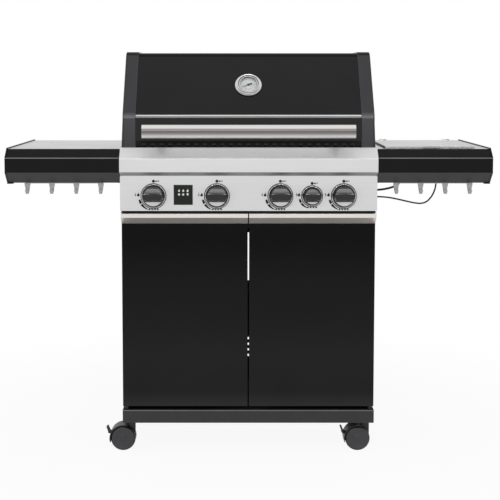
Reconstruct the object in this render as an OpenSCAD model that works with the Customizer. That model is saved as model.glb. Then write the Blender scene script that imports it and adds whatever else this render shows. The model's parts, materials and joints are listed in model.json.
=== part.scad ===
// Four-burner gas grill on a cabinet cart, with two side tables and a side burner.
// Frame: +X to the right, -Y to the front, +Z up. The origin is on the floor, midway in width and depth.

/* [Cart] */
// Width over the cabinet's side panels
cart_w = 706; // [690:2:730]
// Depth from the bullnose to the back panel
cart_d = 480; // [470:2:500]
// Floor to the underside of the base pan
base_z = 92; // [90:1:110]
// Height of the base pan's skirt
base_h = 37; // [30:1:50]
// Thickness of the folded sheet
sheet = 1.5; // [1:0.1:2]

/* [Doors] */
// Height of a door leaf below its pull strip
door_h = 518; // [480:2:560]
// Thickness of a door leaf
door_t = 18; // [16:1:20]
// Height of a pull strip
strip_h = 30; // [26:1:36]
// Gap between the two door leaves
door_split = 4; // [3:0.5:6]
// Diameter of the door hinge pins
hinge_pin_d = 6; // [5:0.5:7]

/* [Control panel] */
// Height of the flat, upright part of the panel
panel_flat_h = 97; // [92:1:106]
// Height of the bullnose's upright band
bull_band_h = 37; // [30:1:44]
// How far the bullnose stands out from the panel
bull_reach = 19; // [14:1:24]
// Spacing of the main knobs
knob_pitch = 174; // [160:1:180]
// Radius of a large knob's skirt
knob_r = 29.5; // [26:0.5:30]
// Radius of the small knob's skirt
small_knob_r = 24; // [20:0.5:26]
// Push travel of a knob
knob_push = 3; // [2:0.5:3.5]
// Height of the knob centres above the panel's lower edge
knob_up = 41; // [38:1:44]
// Width of the touch panel
touch_w = 52; // [46:1:58]

/* [Firebox] */
// Height of the firebox
fire_h = 160; // [156:1:170]
// Thickness of the firebox walls
fire_wall = 3; // [2.5:0.5:4]
// Outer diameter of a burner tube
burner_d = 25; // [22:1:28]
// Pitch of the grate bars
bar_pitch = 15; // [12:1:18]

/* [Lid] */
// Height of the lid's upright front face
lid_front_h = 83; // [75:1:90]
// Length of the lid's sloping front face
lid_slope_l = 203; // [190:1:210]
// Tilt of the sloping face back from upright
lid_tilt = 37; // [34:0.5:40]
// Width of one cast end cap
cap_w = 36; // [32:1:40]
// How far the caps stand proud of the sheet
cap_proud = 3; // [2:0.5:4]
// Length of the lid handle
handle_l = 583; // [540:1:600]
// Height of the lid handle's strip
handle_h = 38; // [34:1:42]
// Diameter of the thermometer bezel
thermo_d = 74; // [66:1:80]

/* [Side tables] */
// Width of one side table
table_w = 312; // [295:1:330]
// Depth of the tables' slanted upper edge
table_slant = 32; // [28:1:36]
// Height of the tables' fascia
table_h = 94; // [88:1:104]
// Spacing of the tool hooks
hook_pitch = 67.6; // [62:0.2:68]
// Width of a hook at its root
hook_w = 17; // [14:1:20]
// Width of the side burner's lid
sb_lid_w = 251; // [240:1:256]

/* [Casters] */
// Diameter of the caster wheels
wheel_d = 70; // [64:1:72]
// Width over a twin wheel
twin_w = 48; // [44:1:52]
// Distance of the axle behind the swivel axis
trail = 22; // [20:1:24]

/* [Hidden] */
$fn = 64;

// Clearances
seat_gap = 0.3;      // where a piece rests beside or over another
run_gap = 0.05;      // radial, of a pin in its bore
hole_gap = 1;        // radial, round a pipe that passes through a sheet
eps = 0.5;           // overrun of a cut past the face that it opens

// Cart: levels and planes
half = cart_w / 2;
inner = half - sheet;
front_y = -(cart_d + 20) / 2;
back_y = front_y + cart_d;
pan_y = front_y + 48;
base_top = base_z + base_h;
door_bottom = base_top + 9;
door_top = door_bottom + door_h;
strip_top = door_top + strip_h;
strip_reach = 26;                  // how far a pull strip juts out in front of its leaf
strip_face_h = 11;                 // its upright front face
panel_bottom = strip_top + 9;
fold_w = 18;                       // width of the sheet's return folds
seat_r = 150;                      // raised seat of the gas bottle on the base pan
seat_up = 3;
window_half = half - 63;           // open window of the back panel
window_low = base_top + 294;
window_h = 152;
slot_half = 60;                    // the slots below the window
slot_h = 7;
slot_pitch = 18;
catch_x = 24;                      // magnet catches behind the leaves' free edges
catch_w = 24;

// Control panel profile, from the back of its top to its lower edge
panel_y = front_y + bull_reach;
band_low = panel_bottom + panel_flat_h + 11;
band_high = band_low + bull_band_h;
panel_top = band_high + 28.5;
bull_top_y = front_y + table_slant;
box_back_y = front_y + 58;         // rear of the control box
panel_path = [
    [box_back_y, panel_top], [bull_top_y, panel_top], [front_y, band_high], [front_y, band_low],
    [panel_y, band_low - 11], [panel_y, panel_bottom]
];
knob_z = panel_bottom + knob_up;
knob_xs = [-1.5 * knob_pitch, -0.5 * knob_pitch, 0.5 * knob_pitch, knob_pitch, 1.5 * knob_pitch];
knob_rs = [knob_r, knob_r, knob_r, small_knob_r, knob_r];
bezel_lip = 6;                     // radial width of a bezel outside its knob
bezel_h = 5;
knob_back = bezel_h + knob_push + 1;
knob_front = 39;
grip = 15;                         // thickness of the knobs' grip bar
scoop = 22;                        // radius of the hollows beside it
stem_d = 6;
plug_d = 10;
plug_front = -7;                   // plug and stem, measured out from the panel's face
plug_back = -26;
stem_end = -14;
touch_x = -179.5;
touch_z = panel_bottom + 44.5;
touch_h = 55;

// Firebox
rim_z = panel_top - 2.5;
fire_z = rim_z - fire_h;
fire_half = half - 8;
fire_front = box_back_y + 2;
fire_back = back_y - 8;
rim_t = 4;
grate_z = rim_z - 28;              // underside of the cooking grates
grate_h = 10;
bar_w = 5;
tie_w = 8;                         // width of the ties across the bars
tamer_z = rim_z - 71;              // underside of the flame tamers
ledge_w = 14;
tamer_half = 60;
burner_xs = [for (i = [-1.5:1:1.5]) i * knob_pitch];
manifold_z = knob_z - 24;
manifold_y = panel_y + 23;
rack_rise = 112;                   // warming rack above the grates
rack_y = [fire_back - 146, fire_back - 26];
rack_rod_d = 6;
rack_wire_d = 4;
rack_pitch = 30;

// Gas pipe
valve_w = 24;
pipe_d = 18;
inlet_x = -half + 53;
inlet_z = fire_z - 8;              // the inlet pipe runs to the back under the firebox
inlet_d = 12;
nut_d = 22;
nut_l = 10;
nut_y = back_y + 1;
inlet_r = 8.3;
inlet_l = 14;

// Grease tray and cup
tray_half = 240;
tray_top = fire_z - 8;
tray_bottom = tray_top - 24;
tray_front = fire_front + 40;
cup_r = 45;
cup_y = 60;
cup_top = tray_bottom - 5;
cup_h = 48;
cup_lip = 5;

// Doors
door_y = front_y + 55;             // front face of the leaves
hinge_x = half - 10;
hinge_y = door_y + 9;
leaf_edge = half - 0.5;
cab_y = door_y + door_t + 5;       // front edge of the side panels
screw_ys = [cab_y + 32, 20, back_y - 50];

// Lid: outer profile of the sheet, from the lower front edge over the top to the lower rear edge
lid_y = front_y + 50;
lid_z = rim_z + 7;
lid_half = half - 41.4;
lid_bend_r = 30;
lid_back_r = 70;
lid_back_y = back_y + 6;
hinge_lid_y = back_y + 28;
hinge_lid_z = rim_z + 14;
hinge_boss_r = 12;
lid_pin_d = 8;
lid_fold = [lid_y, lid_z + lid_front_h];
lid_bend = lid_fold + lid_slope_l * [sin(lid_tilt), cos(lid_tilt)];
bend_c = lid_bend + lid_bend_r * [cos(lid_tilt), -sin(lid_tilt)];
lid_top = bend_c[1] + lid_bend_r;
back_c = [lid_back_y - 96, lid_top - lid_back_r];
lid_path = concat(
    [[lid_y, lid_z], lid_fold],
    arc(bend_c, lid_bend_r, 180 - lid_tilt, 90, 6),
    arc(back_c, lid_back_r, 90, 38, 5),
    [[lid_back_y, rim_z + 130], [lid_back_y + 16, rim_z + 28]]
);
cap_low = rim_z + 3;
wall_x = lid_half + cap_w - 4;     // inner face of a cap's end wall
skirt_h = 88;                      // height of the flared skirts at the caps' feet
lug_w = 15;
slope_mid = lid_fold + 0.5 * lid_slope_l * [sin(lid_tilt), cos(lid_tilt)];
handle_z = lid_z + 21;             // lower edge of the handle
handle_bow = 12;
handle_y = lid_y - 44;             // chord of the handle's bowed front
post_x = handle_l / 2 - 50;
thermo_h = 13;
probe_l = 62;
dial_r = 26;

// Side tables
table_z = rim_z - 1;
table_out = half + table_w;
crease_z = panel_top - 28.5;
fascia_low = panel_top - 28.5 - bull_band_h - 1;
fascia_bottom = table_z - table_h;
table_path = [
    [bull_top_y, table_z], [front_y, crease_z], [front_y, fascia_low], [front_y + 38, fascia_bottom],
    [front_y + 54, fascia_bottom]
];
table_fold = 40;                   // depth of the top sheet's folded edges
end_t = 4;
end_proud = 3;
hook_y = front_y + 45;
hook_mid = half + table_w / 2 + 0.5;
rail_t = 2;

// Side burner
sb_x0 = half + 25;
sb_y0 = front_y + 60;
sb_lid_d = 310;
sb_y1 = sb_y0 + sb_lid_d;
sb_wall = 12;                      // lid edge to bowl wall
sb_floor = table_z - 75;
sb_mid = [sb_x0 + sb_lid_w / 2, (sb_y0 + sb_y1) / 2];
sb_lid_z = table_z + 1 + seat_gap;
sb_lid_h = 5;
sb_hinge_y = sb_y1 + 8;
sb_hinge_z = sb_lid_z + 4;
sb_pin_d = 4;
sb_ear_w = 12;
sb_ear_xs = [sb_x0 + 24, sb_x0 + sb_lid_w - 24 - sb_ear_w];
sb_head_d = 84;
sb_head_up = 36;                   // burner cap above the bowl's floor
sb_grate_half = 82;

// Casters
wheel_r = wheel_d / 2;
hood_r = wheel_r + 4;
web_w = 12;
neck_top = base_z - 3 - seat_gap;
kingpin_d = 10;
axle_d = 8;
caster_x = half - 19;
caster_y = [pan_y + 60, back_y - 60];
caster_at = [for (y = caster_y) for (s = [-1, 1]) [s * caster_x, y]];
caster_turn = [0, 0, 180, 0];      // how far each is swivelled at rest
brake_a = 160;                     // where the lever's pivot sits around the axle
brake_arm = wheel_r + 8.5;
brake_at = [-trail, wheel_r] + brake_arm * [cos(brake_a), sin(brake_a)];
brake_pin_d = 4;

// Cords
lead_d = 4.5;
hose_d = 6;
cord_y = -70;
// Routes run from the gland on the side panel to the gland under the bowl, measured from the side panel's
// face at the level of the bowl's floor
cord_origin = [half, cord_y, sb_floor];
gland_out = 8;
gland_in = 14;
gland_t = 4;
lead_route = [
    [gland_out, 0, -72], [27, 0, -72], [52, 0, -74], [79, 0, -79], [105, 0, -85], [129, 0, -90],
    [147, 0, -91], [162, 0, -86], [174, 0, -74], [183, 0, -58], [188, 0, -38], [188, 0, -gland_in]
];
hose_route = [
    [gland_out, 0, -52], [21, 0, -52], [39, 0, -50], [57, 0, -46], [73, 0, -40], [84, 0, -31],
    [89, 0, -22], [89, 0, -gland_in]
];
cords = [[lead_route, lead_d], [hose_route, hose_d]];

// Geometry helpers
function unit(v) = v / norm(v);
function left_of(v) = [-v[1], v[0]];
function edge_normal(p, i) = left_of(unit(p[i + 1] - p[i]));
// The path moved sideways by d, with mitred corners
function shifted(p, d) = [
    for (i = [0:len(p) - 1])
        let (a = edge_normal(p, max(i - 1, 0)), b = edge_normal(p, min(i, len(p) - 2)))
            p[i] + d * (a + b) / (1 + a * b)
];
function reversed(p) = [for (i = [len(p) - 1:-1:0]) p[i]];
// Closed outline of a folded sheet of thickness t along the path
function folded(p, t) = concat(p, reversed(shifted(p, t)));
function arc(c, r, a0, a1, n) = [
    for (i = [0:n]) let (a = a0 + (a1 - a0) * i / n) c + r * [cos(a), sin(a)]
];
// Point at u in 0..1 between p[i] and p[i + 1] on a smooth curve through all points
function curve_at(p, i, u) =
    let (a = p[max(i - 1, 0)], b = p[i], c = p[i + 1], d = p[min(i + 2, len(p) - 1)])
        b + 0.5 * ((c - a) * u + (2 * a - 5 * b + 4 * c - d) * u * u + (3 * b - a - 3 * c + d) * u * u * u);
function smooth(p, n) = concat(
    [for (i = [0:len(p) - 2]) for (k = [0:n - 1]) curve_at(p, i, k / n)],
    [p[len(p) - 1]]
);

module box(low, high) translate(low) cube(high - low);
module along_x(x0, x1) translate([x0, 0, 0]) rotate([90, 0, 90]) linear_extrude(x1 - x0) children();
module along_y(y0, y1) translate([0, y1, 0]) rotate([90, 0, 0]) linear_extrude(y1 - y0) children();
module both_sides() {
    children();
    mirror([1, 0, 0]) children();
}
// Turns local +Z to the front, at a point on the panel's face
module on_panel(x, z) translate([x, panel_y, z]) rotate([90, 0, 0]) children();
module rod_x(y, z, d, x0, x1) translate([x0, y, z]) rotate([0, 90, 0]) cylinder(d = d, h = x1 - x0);
module rod_y(x, z, d, y0, y1) translate([x, y1, z]) rotate([90, 0, 0]) cylinder(d = d, h = y1 - y0);
// Turns local +Z out of the lid's sloping face, at the middle of that face
module on_slope() translate([0, slope_mid[0], slope_mid[1]]) rotate([90 - lid_tilt, 0, 0]) children();
// A cord in a plane of constant Y, swept along a smooth curve through the route
module cord(route, d, sides, steps) {
    p = smooth(route, steps);
    last = len(p) - 1;
    ring = [
        for (i = [0:last])
            let (t = unit(p[min(i + 1, last)] - p[max(i - 1, 0)]), n = [-t[2], 0, t[0]])
                for (k = [0:sides - 1])
                    let (a = 360 * k / sides)
                        p[i] + d / 2 * (cos(a) * n + sin(a) * [0, 1, 0])
    ];
    walls = [
        for (i = [0:last - 1]) for (k = [0:sides - 1])
            let (m = (k + 1) % sides)
                [i * sides + k, i * sides + m, (i + 1) * sides + m, (i + 1) * sides + k]
    ];
    caps = [[for (k = [sides - 1:-1:0]) k], [for (k = [0:sides - 1]) last * sides + k]];
    polyhedron(ring, concat(walls, caps));
}

// ---- Cart ----

module base_pan() color("#47474a") {
    difference() {
        box([-half, pan_y, base_z], [half, back_y, base_top]);
        box([-inner, pan_y + sheet, base_z + sheet], [inner, back_y - sheet, base_top - sheet]);
        box([-half + 45, pan_y + 90, base_z - eps], [half - 45, back_y - 90, base_z + sheet + eps]);
        for (p = caster_at) translate([p[0], p[1], base_z - eps]) cylinder(d = 8.6, h = sheet + 2 * eps);
        translate([20, back_y - 65, base_top - sheet - eps]) cylinder(d = 12, h = sheet + 2 * eps);
        translate([0, 0, base_top - 2 * sheet]) cylinder(r = seat_r - sheet, h = 3 * sheet);
    }
    // Raised round seat for the gas bottle
    translate([0, 0, base_top - sheet]) difference() {
        cylinder(r = seat_r, h = seat_up + sheet);
        translate([0, 0, -eps]) cylinder(r = seat_r - sheet, h = seat_up + eps);
    }
    both_sides() translate([hinge_x, hinge_y, base_top]) {
        cylinder(d = 12, h = door_bottom - base_top - seat_gap);
        cylinder(d = hinge_pin_d, h = door_bottom - base_top + 8);
    }
}

module side_panel() {
    outline = [
        [cab_y, base_top], [cab_y, strip_top + 4], [box_back_y, panel_bottom],
        [box_back_y, rim_z - rim_t], [back_y - sheet, rim_z - rim_t], [back_y - sheet, base_top]
    ];
    along_x(inner, half) polygon(outline);
    box([inner - fold_w, cab_y, base_top], [inner, cab_y + sheet, strip_top + 2]);
    box([inner - fold_w, back_y - 2 * sheet, base_top], [inner, back_y - sheet, fire_z - 16]);
    box([inner - fold_w, cab_y, base_top], [inner, back_y - sheet, base_top + sheet]);
}
module side_panel_left() color("#1b1b1d") mirror([1, 0, 0]) side_panel();
module side_panel_right() color("#1b1b1d") difference() {
    side_panel();
    for (c = cords) translate(cord_origin) {
        exit = c[0][0];
        rod_x(exit[1], exit[2], c[1] + gland_t + 2 * run_gap, -3 * sheet, gland_out);
    }
}

module through_back(x0, x1, z0, z1) box([x0, back_y - sheet - eps, z0], [x1, back_y + eps, z1]);

module back_panel() color("#1b1b1d") {
    difference() {
        box([-half, back_y - sheet, base_top], [half, back_y, fire_z]);
        through_back(-window_half, window_half, window_low, window_low + window_h);
        for (i = [0:3]) let (z = base_top + 3 * slot_pitch + slot_pitch * i)
            through_back(-slot_half, slot_half, z - slot_h / 2, z + slot_h / 2);
        // Ways for the tray, for the cup below it, and for the gas pipe
        through_back(-tray_half - 8, tray_half + 8, tray_bottom - 6, fire_z + eps);
        through_back(-cup_r - 10, cup_r + 10, cup_top - cup_h - 8, tray_bottom);
        pipe_way = inlet_d / 2 + hole_gap;
        through_back(inlet_x - pipe_way, inlet_x + pipe_way, inlet_z - pipe_way, fire_z + eps);
    }
}

module front_crossbar() color("#232325") {
    face_y = cab_y + sheet;
    top_z = strip_top + 4;
    box([-inner, face_y, door_top - 16], [inner, face_y + sheet, top_z]);
    box([-inner, panel_y + 2 * sheet, top_z], [inner, face_y + sheet, top_z + sheet]);
    // Upper door pins with their collars
    both_sides() translate([hinge_x, hinge_y, strip_top - 10]) {
        cylinder(d = hinge_pin_d, h = 15);
        translate([0, 0, 10 + seat_gap]) cylinder(d = 12, h = 4);
    }
    both_sides()
        box([catch_x, door_y + door_t + seat_gap, door_top - 14], [catch_x + catch_w, face_y, door_top - 4]);
}

// ---- Casters ----

module caster_plates() color("#2c2c2e") {
    for (p = caster_at) translate([p[0], p[1], 0]) {
        translate([0, 0, base_z - 3]) cylinder(d = 38, h = 3);
        translate([0, 0, base_z - 17]) cylinder(d = kingpin_d, h = 15);
        translate([0, 0, base_z - 1]) cylinder(d = 8, h = 22);
        translate([0, 0, base_z + sheet]) cylinder(d = 15, h = 6, $fn = 6);
    }
}

// Puts its children, drawn about a king pin, at one of the casters
module at_caster(k) translate([caster_at[k][0], caster_at[k][1], 0]) rotate([0, 0, caster_turn[k]]) children();

// Sector of the hood, seen along the axle
module hood_wedge() polygon([[0, 0], for (a = [72:31:196]) 2 * wheel_r * [cos(a), sin(a)]]);

module caster_fork(k, braked) color("#29292c") at_caster(k) difference() {
    union() {
        // Web between the wheels, with the neck behind them
        rotate([90, 0, 0]) linear_extrude(web_w, center = true) {
            translate([-trail, wheel_r]) circle(r = wheel_r - 5);
            translate([-trail, wheel_r]) intersection() {
                circle(r = hood_r);
                hood_wedge();
            }
            translate([-12, wheel_r + 8]) square([24, neck_top - wheel_r - 12]);
            if (braked) {
                translate(brake_at) circle(r = 4);
                translate([-trail, wheel_r]) rotate(brake_a)
                    translate([hood_r - 2, -4]) square([brake_arm - hood_r + 2, 8]);
            }
        }
        // Hood over both wheels
        rotate([90, 0, 0]) linear_extrude(twin_w - 2, center = true)
            translate([-trail, wheel_r]) intersection() {
                difference() {
                    circle(r = hood_r);
                    circle(r = wheel_r + 1.5);
                }
                hood_wedge();
            }
        translate([0, 0, neck_top - 14]) cylinder(d = 24, h = 14);
    }
    translate([0, 0, base_z - 17 - 1]) cylinder(r = kingpin_d / 2 + run_gap, h = 30);
    translate([-trail, 0, wheel_r]) rotate([90, 0, 0])
        cylinder(r = axle_d / 2 + run_gap, h = twin_w + 4, center = true);
    translate([brake_at[0], 0, brake_at[1]]) rotate([90, 0, 0])
        cylinder(r = brake_pin_d / 2 + run_gap, h = web_w + 4, center = true);
    // The neck stays clear of both wheels
    both_wheels(at = [-trail, wheel_r]) cylinder(r = wheel_r + 1.5, h = twin_w / 2);
}

// Places its children beside the web, on either side, facing outwards
module both_wheels(at) for (s = [0, 180])
    translate([at[0], 0, at[1]]) rotate([90, 0, s]) translate([0, 0, web_w / 2]) children();

module caster_wheel(k) color("#3c3c40") at_caster(k) translate([-trail, 0, wheel_r]) {
    disc_w = twin_w / 2 - web_w / 2 - 1;
    for (s = [-90, 90]) rotate([s, 0, 0]) translate([0, 0, web_w / 2 + 1]) rotate_extrude()
        polygon([
            [0, 0], [wheel_r - 1, 0], [wheel_r, 1], [wheel_r, disc_w - 6], [wheel_r - 1.5, disc_w - 2.5],
            [wheel_r - 6, disc_w], [15, disc_w], [14, disc_w - 1], [0, disc_w - 1]
        ]);
    rotate([90, 0, 0]) cylinder(d = axle_d, h = web_w + 4, center = true);
}

module caster_brake(k) color("#1f1f21") at_caster(k) translate([brake_at[0], 0, brake_at[1]]) {
    cheek = web_w / 2 + seat_gap;
    lever_l = 17;
    for (s = [-1, 1]) translate([0, s * (cheek + 1.5), 0]) rotate([90, 0, 0]) linear_extrude(3, center = true) {
        circle(r = 3.6);
        rotate(112) translate([0, -3]) square([lever_l - 3, 5]);
    }
    rotate([90, 0, 0]) linear_extrude(2 * cheek + 6, center = true)
        rotate(112) translate([5, -3]) square([lever_l - 5, 5]);
    rotate([90, 0, 0]) cylinder(d = brake_pin_d, h = 2 * cheek + 4, center = true);
}

// ---- Doors ----

module door_leaf() {
    x0 = door_split / 2;
    difference() {
        box([x0, door_y, door_bottom], [leaf_edge, door_y + door_t, door_top]);
        difference() {
            box([x0 + sheet, door_y + sheet, door_bottom + sheet],
                [leaf_edge - sheet, door_y + door_t + eps, door_top - sheet]);
            box([hinge_x - 8, door_y, door_bottom], [leaf_edge, door_y + door_t, door_bottom + 12]);
        }
        translate([hinge_x, hinge_y, door_bottom - eps])
            cylinder(r = hinge_pin_d / 2 + run_gap, h = 12.5 + eps);
    }
}
module door_left() color("#151516") mirror([1, 0, 0]) door_leaf();
module door_right() color("#151516") door_leaf();

module door_strip() {
    x0 = door_split / 2 - 0.5;
    outline = [
        [door_y, door_top], [door_y - strip_reach, strip_top - strip_face_h], [door_y - strip_reach, strip_top],
        [door_y + door_t, strip_top]
    ];
    back = [[door_y + door_t, strip_top], [door_y + door_t, door_top], [door_y, door_top]];
    difference() {
        union() {
            along_x(x0, half) polygon(folded(outline, -sheet));
            for (x = [x0, half - sheet]) along_x(x, x + sheet) polygon(concat(outline, back));
            box([hinge_x - 8, door_y + 1, strip_top - 12], [half, door_y + door_t, strip_top]);
        }
        translate([hinge_x, hinge_y, strip_top - 13])
            cylinder(r = hinge_pin_d / 2 + run_gap, h = 14);
    }
}
module door_handle_left() color("#b9b7b4") mirror([1, 0, 0]) door_strip();
module door_handle_right() color("#b9b7b4") door_strip();

// ---- Control panel ----

module control_panel() color("#cfcfcf") {
    end_face = concat(panel_path, [[box_back_y, panel_bottom]]);
    difference() {
        union() {
            along_x(-half, half) polygon(folded(panel_path, sheet));
            both_sides() along_x(inner, half) polygon(end_face);
        }
        for (x = knob_xs) on_panel(x, knob_z) cylinder(d = 14, h = 4 * sheet, center = true);
        touch_block(4, -eps, sheet + eps);
    }
}

module knob_bezels() color("#d8d8d8") for (i = [0:4]) on_panel(knob_xs[i], knob_z) {
    r = knob_rs[i];
    rotate_extrude() polygon([
        [9, 0], [r + bezel_lip, 0], [r + bezel_lip, 2], [r + bezel_lip - 2, bezel_h - 0.5],
        [r + 2, bezel_h], [r + 1.5, 2], [9, 2]
    ]);
}

// A block of the touch panel, set in from its edges, between two depths behind the panel's face
module touch_block(margin, front, rear) box(
    [touch_x - touch_w / 2 + margin, panel_y + front, touch_z - touch_h / 2 + margin],
    [touch_x + touch_w / 2 - margin, panel_y + rear, touch_z + touch_h / 2 - margin]
);

module touch_panel() color("#1c2124") {
    touch_block(0, -2, 0);
    touch_block(5, -1, 12);
}

module knob(i) color("#c8c8c8") on_panel(knob_xs[i], knob_z) {
    r = knob_rs[i];
    translate([0, 0, knob_back]) cylinder(r = r, h = 5);
    translate([0, 0, knob_back + 4]) cylinder(r = r - 2.5, h = 4);
    difference() {
        translate([0, 0, knob_back + 6]) cylinder(r = r - 3.5, h = knob_front - knob_back - 6);
        for (s = [-1, 1]) translate([0, s * (grip / 2 + scoop), knob_front + 1]) rotate([0, 90, 0])
            cylinder(r = scoop, h = 3 * r, center = true);
    }
    translate([0, 0, stem_end]) cylinder(d = stem_d, h = knob_back - stem_end + 1);
}
module knob_1() knob(0);
module knob_2() knob(1);
module knob_3() knob(2);
module knob_4() knob(3);
module knob_5() knob(4);

module tap_plug(i) color("#b08d4a") on_panel(knob_xs[i], knob_z) difference() {
    translate([0, 0, plug_back]) cylinder(d = plug_d, h = plug_front - plug_back);
    translate([0, 0, stem_end - knob_push - 2]) cylinder(r = stem_d / 2 + run_gap, h = 30);
}
module tap_plug_1() tap_plug(0);
module tap_plug_2() tap_plug(1);
module tap_plug_3() tap_plug(2);
module tap_plug_4() tap_plug(3);
module tap_plug_5() tap_plug(4);

module gas_manifold() color("#a8a8a4") difference() {
    union() {
        rod_x(manifold_y, manifold_z, pipe_d, inlet_x - 6, half - 40);
        for (x = knob_xs)
            box([x - valve_w / 2, panel_y + 9, knob_z - 18], [x + valve_w / 2, panel_y + 29, knob_z + 13]);
        // Injectors inside the burner tubes' mouths
        for (x = burner_xs) rod_y(x, knob_z, 8, panel_y + 28, fire_front + 6);
        // Feet that carry the pipe on the firebox's front wall
        for (x = [-knob_pitch, 0, knob_pitch])
            box([x - 8, manifold_y, manifold_z - 5], [x + 8, fire_front, manifold_z + 5]);
        // Inlet pipe under the firebox to the nut and the hose nipple behind the back panel
        translate([inlet_x, manifold_y, inlet_z]) cylinder(d = inlet_d, h = manifold_z - inlet_z);
        translate([inlet_x, manifold_y, inlet_z]) sphere(d = inlet_d);
        rod_y(inlet_x, inlet_z, inlet_d, manifold_y, nut_y + 1);
        translate([inlet_x, nut_y, inlet_z]) rotate([-90, 0, 0]) cylinder(d = nut_d, h = nut_l, $fn = 6);
        rod_y(inlet_x, inlet_z, 2 * inlet_r, nut_y + nut_l - 1, nut_y + nut_l + inlet_l);
        // Clips that hang the pipe from the firebox
        for (y = [fire_front + 40, fire_back - 40])
            box([inlet_x - 5, y, inlet_z + inlet_d / 2 - 2], [inlet_x + 5, y + 12, fire_z]);
    }
    for (x = knob_xs) on_panel(x, knob_z)
        translate([0, 0, plug_back - 1]) cylinder(r = plug_d / 2 + run_gap, h = 30);
}

// ---- Firebox and cooking parts ----

module firebox() color("#202022") {
    ledge_z = grate_z;
    difference() {
        box([-fire_half, fire_front, fire_z], [fire_half, fire_back, rim_z]);
        box([-fire_half + fire_wall, fire_front + fire_wall, fire_z + fire_wall],
            [fire_half - fire_wall, fire_back - fire_wall, rim_z + eps]);
        box([-180, -30, fire_z - eps], [180, 150, fire_z + fire_wall + eps]);
        for (x = burner_xs)
            rod_y(x, knob_z, burner_d + 2 * seat_gap, fire_front - eps, fire_front + fire_wall + eps);
    }
    // Side flanges that rest on the side panels
    both_sides() box([fire_half - eps, fire_front, rim_z - rim_t], [half, fire_back, rim_z]);
    // Notched lip inside the lid's front edge
    difference() {
        box([-lid_half + 12, fire_front, rim_z - eps], [lid_half - 12, fire_front + fire_wall, rim_z + 5]);
        for (i = [-12:12]) translate([24 * i, 0, 0])
            box([-6, fire_front - eps, rim_z + 2], [6, fire_front + fire_wall + eps, rim_z + 6]);
    }
    // Ledges for the grates all round, for the tamers front and back, and for the burners' rear ends
    difference() {
        box([-fire_half + 1, fire_front + 1, ledge_z - 3], [fire_half - 1, fire_back - 1, ledge_z]);
        box([-fire_half + fire_wall + ledge_w, fire_front + fire_wall + ledge_w, ledge_z - 4],
            [fire_half - fire_wall - ledge_w, fire_back - fire_wall - ledge_w, ledge_z + 1]);
    }
    for (y = [fire_front + 1, fire_back - fire_wall - ledge_w])
        box([-fire_half + 1, y, tamer_z - 3], [fire_half - 1, y + ledge_w + fire_wall - 1, tamer_z]);
    box([-fire_half + 1, fire_back - 25, knob_z - burner_d / 2 - 3 - seat_gap],
        [fire_half - 1, fire_back - 1, knob_z - burner_d / 2 - seat_gap]);
    // Rails of the grease tray, below the floor
    both_sides() {
        box([tray_half + 6, tray_front, tray_top - 4], [tray_half + 8, fire_back, fire_z]);
        box([tray_half + 1, tray_front, tray_top - 4], [tray_half + 8, fire_back, tray_top - 2.3]);
    }
    // Hinge ears with the lid's pins
    both_sides() {
        along_x(lid_half - 11.6, lid_half - 0.6) {
            translate([hinge_lid_y, hinge_lid_z]) circle(r = 9);
            polygon([
                [fire_back - 1, rim_z - 44], [fire_back + 4, rim_z - 44], [hinge_lid_y + 7, hinge_lid_z - 5.5],
                [hinge_lid_y - 4, hinge_lid_z + 8], [fire_back - 1, rim_z - 2]
            ]);
        }
        rod_x(hinge_lid_y, hinge_lid_z, lid_pin_d, lid_half - 5, lid_half + lug_w);
    }
}

module burners() color("#b4b2ae") {
    for (x = burner_xs) difference() {
        rod_y(x, knob_z, burner_d, fire_front - 5, fire_back - 12);
        rod_y(x, knob_z, burner_d - 3, fire_front - 6, fire_back - 14);
    }
    // Carry-over channels between neighbouring tubes
    for (i = [0:2])
        box([burner_xs[i] + burner_d / 2 - 2, 20, knob_z - 5],
            [burner_xs[i + 1] - burner_d / 2 + 2, 36, knob_z + 5]);
}

module flame_tamers() color("#8d8b88") for (x = burner_xs) translate([x, 0, 0])
    along_y(fire_front + fire_wall + 1, fire_back - fire_wall - 1)
        polygon(folded([
            [tamer_half, tamer_z], [tamer_half - 12, tamer_z], [0, tamer_z + 30],
            [12 - tamer_half, tamer_z], [-tamer_half, tamer_z]
        ], -sheet));

module cooking_grates() color("#2b2b2c") {
    y0 = fire_front + fire_wall + 3;
    y1 = fire_back - fire_wall - 3;
    field = 2 * (fire_half - fire_wall - ledge_w) + 4;
    panel_w = field / 3;
    bars = floor((panel_w - 8) / bar_pitch);
    for (k = [-1:1]) translate([k * panel_w, 0, grate_z]) {
        for (i = [0:bars]) translate([(i - bars / 2) * bar_pitch - bar_w / 2, y0, 2])
            cube([bar_w, y1 - y0, grate_h - 2]);
        for (j = [0:3]) translate([-(bars * bar_pitch + bar_w) / 2, y0 + j * (y1 - y0 - tie_w) / 3, 0])
            cube([bars * bar_pitch + bar_w, tie_w, grate_h - 3]);
    }
}

module warming_rack() color("#9a9a9a") {
    side_x = fire_half - fire_wall - 7;
    rack_z = grate_z + rack_rise;
    low = rack_y[0];
    high = rack_y[1];
    both_sides() for (y = rack_y) translate([side_x, y, grate_z]) cylinder(d = rack_rod_d, h = rack_rise);
    both_sides() rod_y(side_x, rack_z, rack_rod_d, low - rack_rod_d, high + rack_rod_d);
    for (y = rack_y) rod_x(y, rack_z, rack_rod_d, -side_x, side_x);
    wires = floor((side_x - rack_rod_d) / rack_pitch);
    for (i = [-wires:wires])
        rod_y(i * rack_pitch, rack_z, rack_wire_d, low - rack_wire_d, high + rack_wire_d);
}

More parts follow.
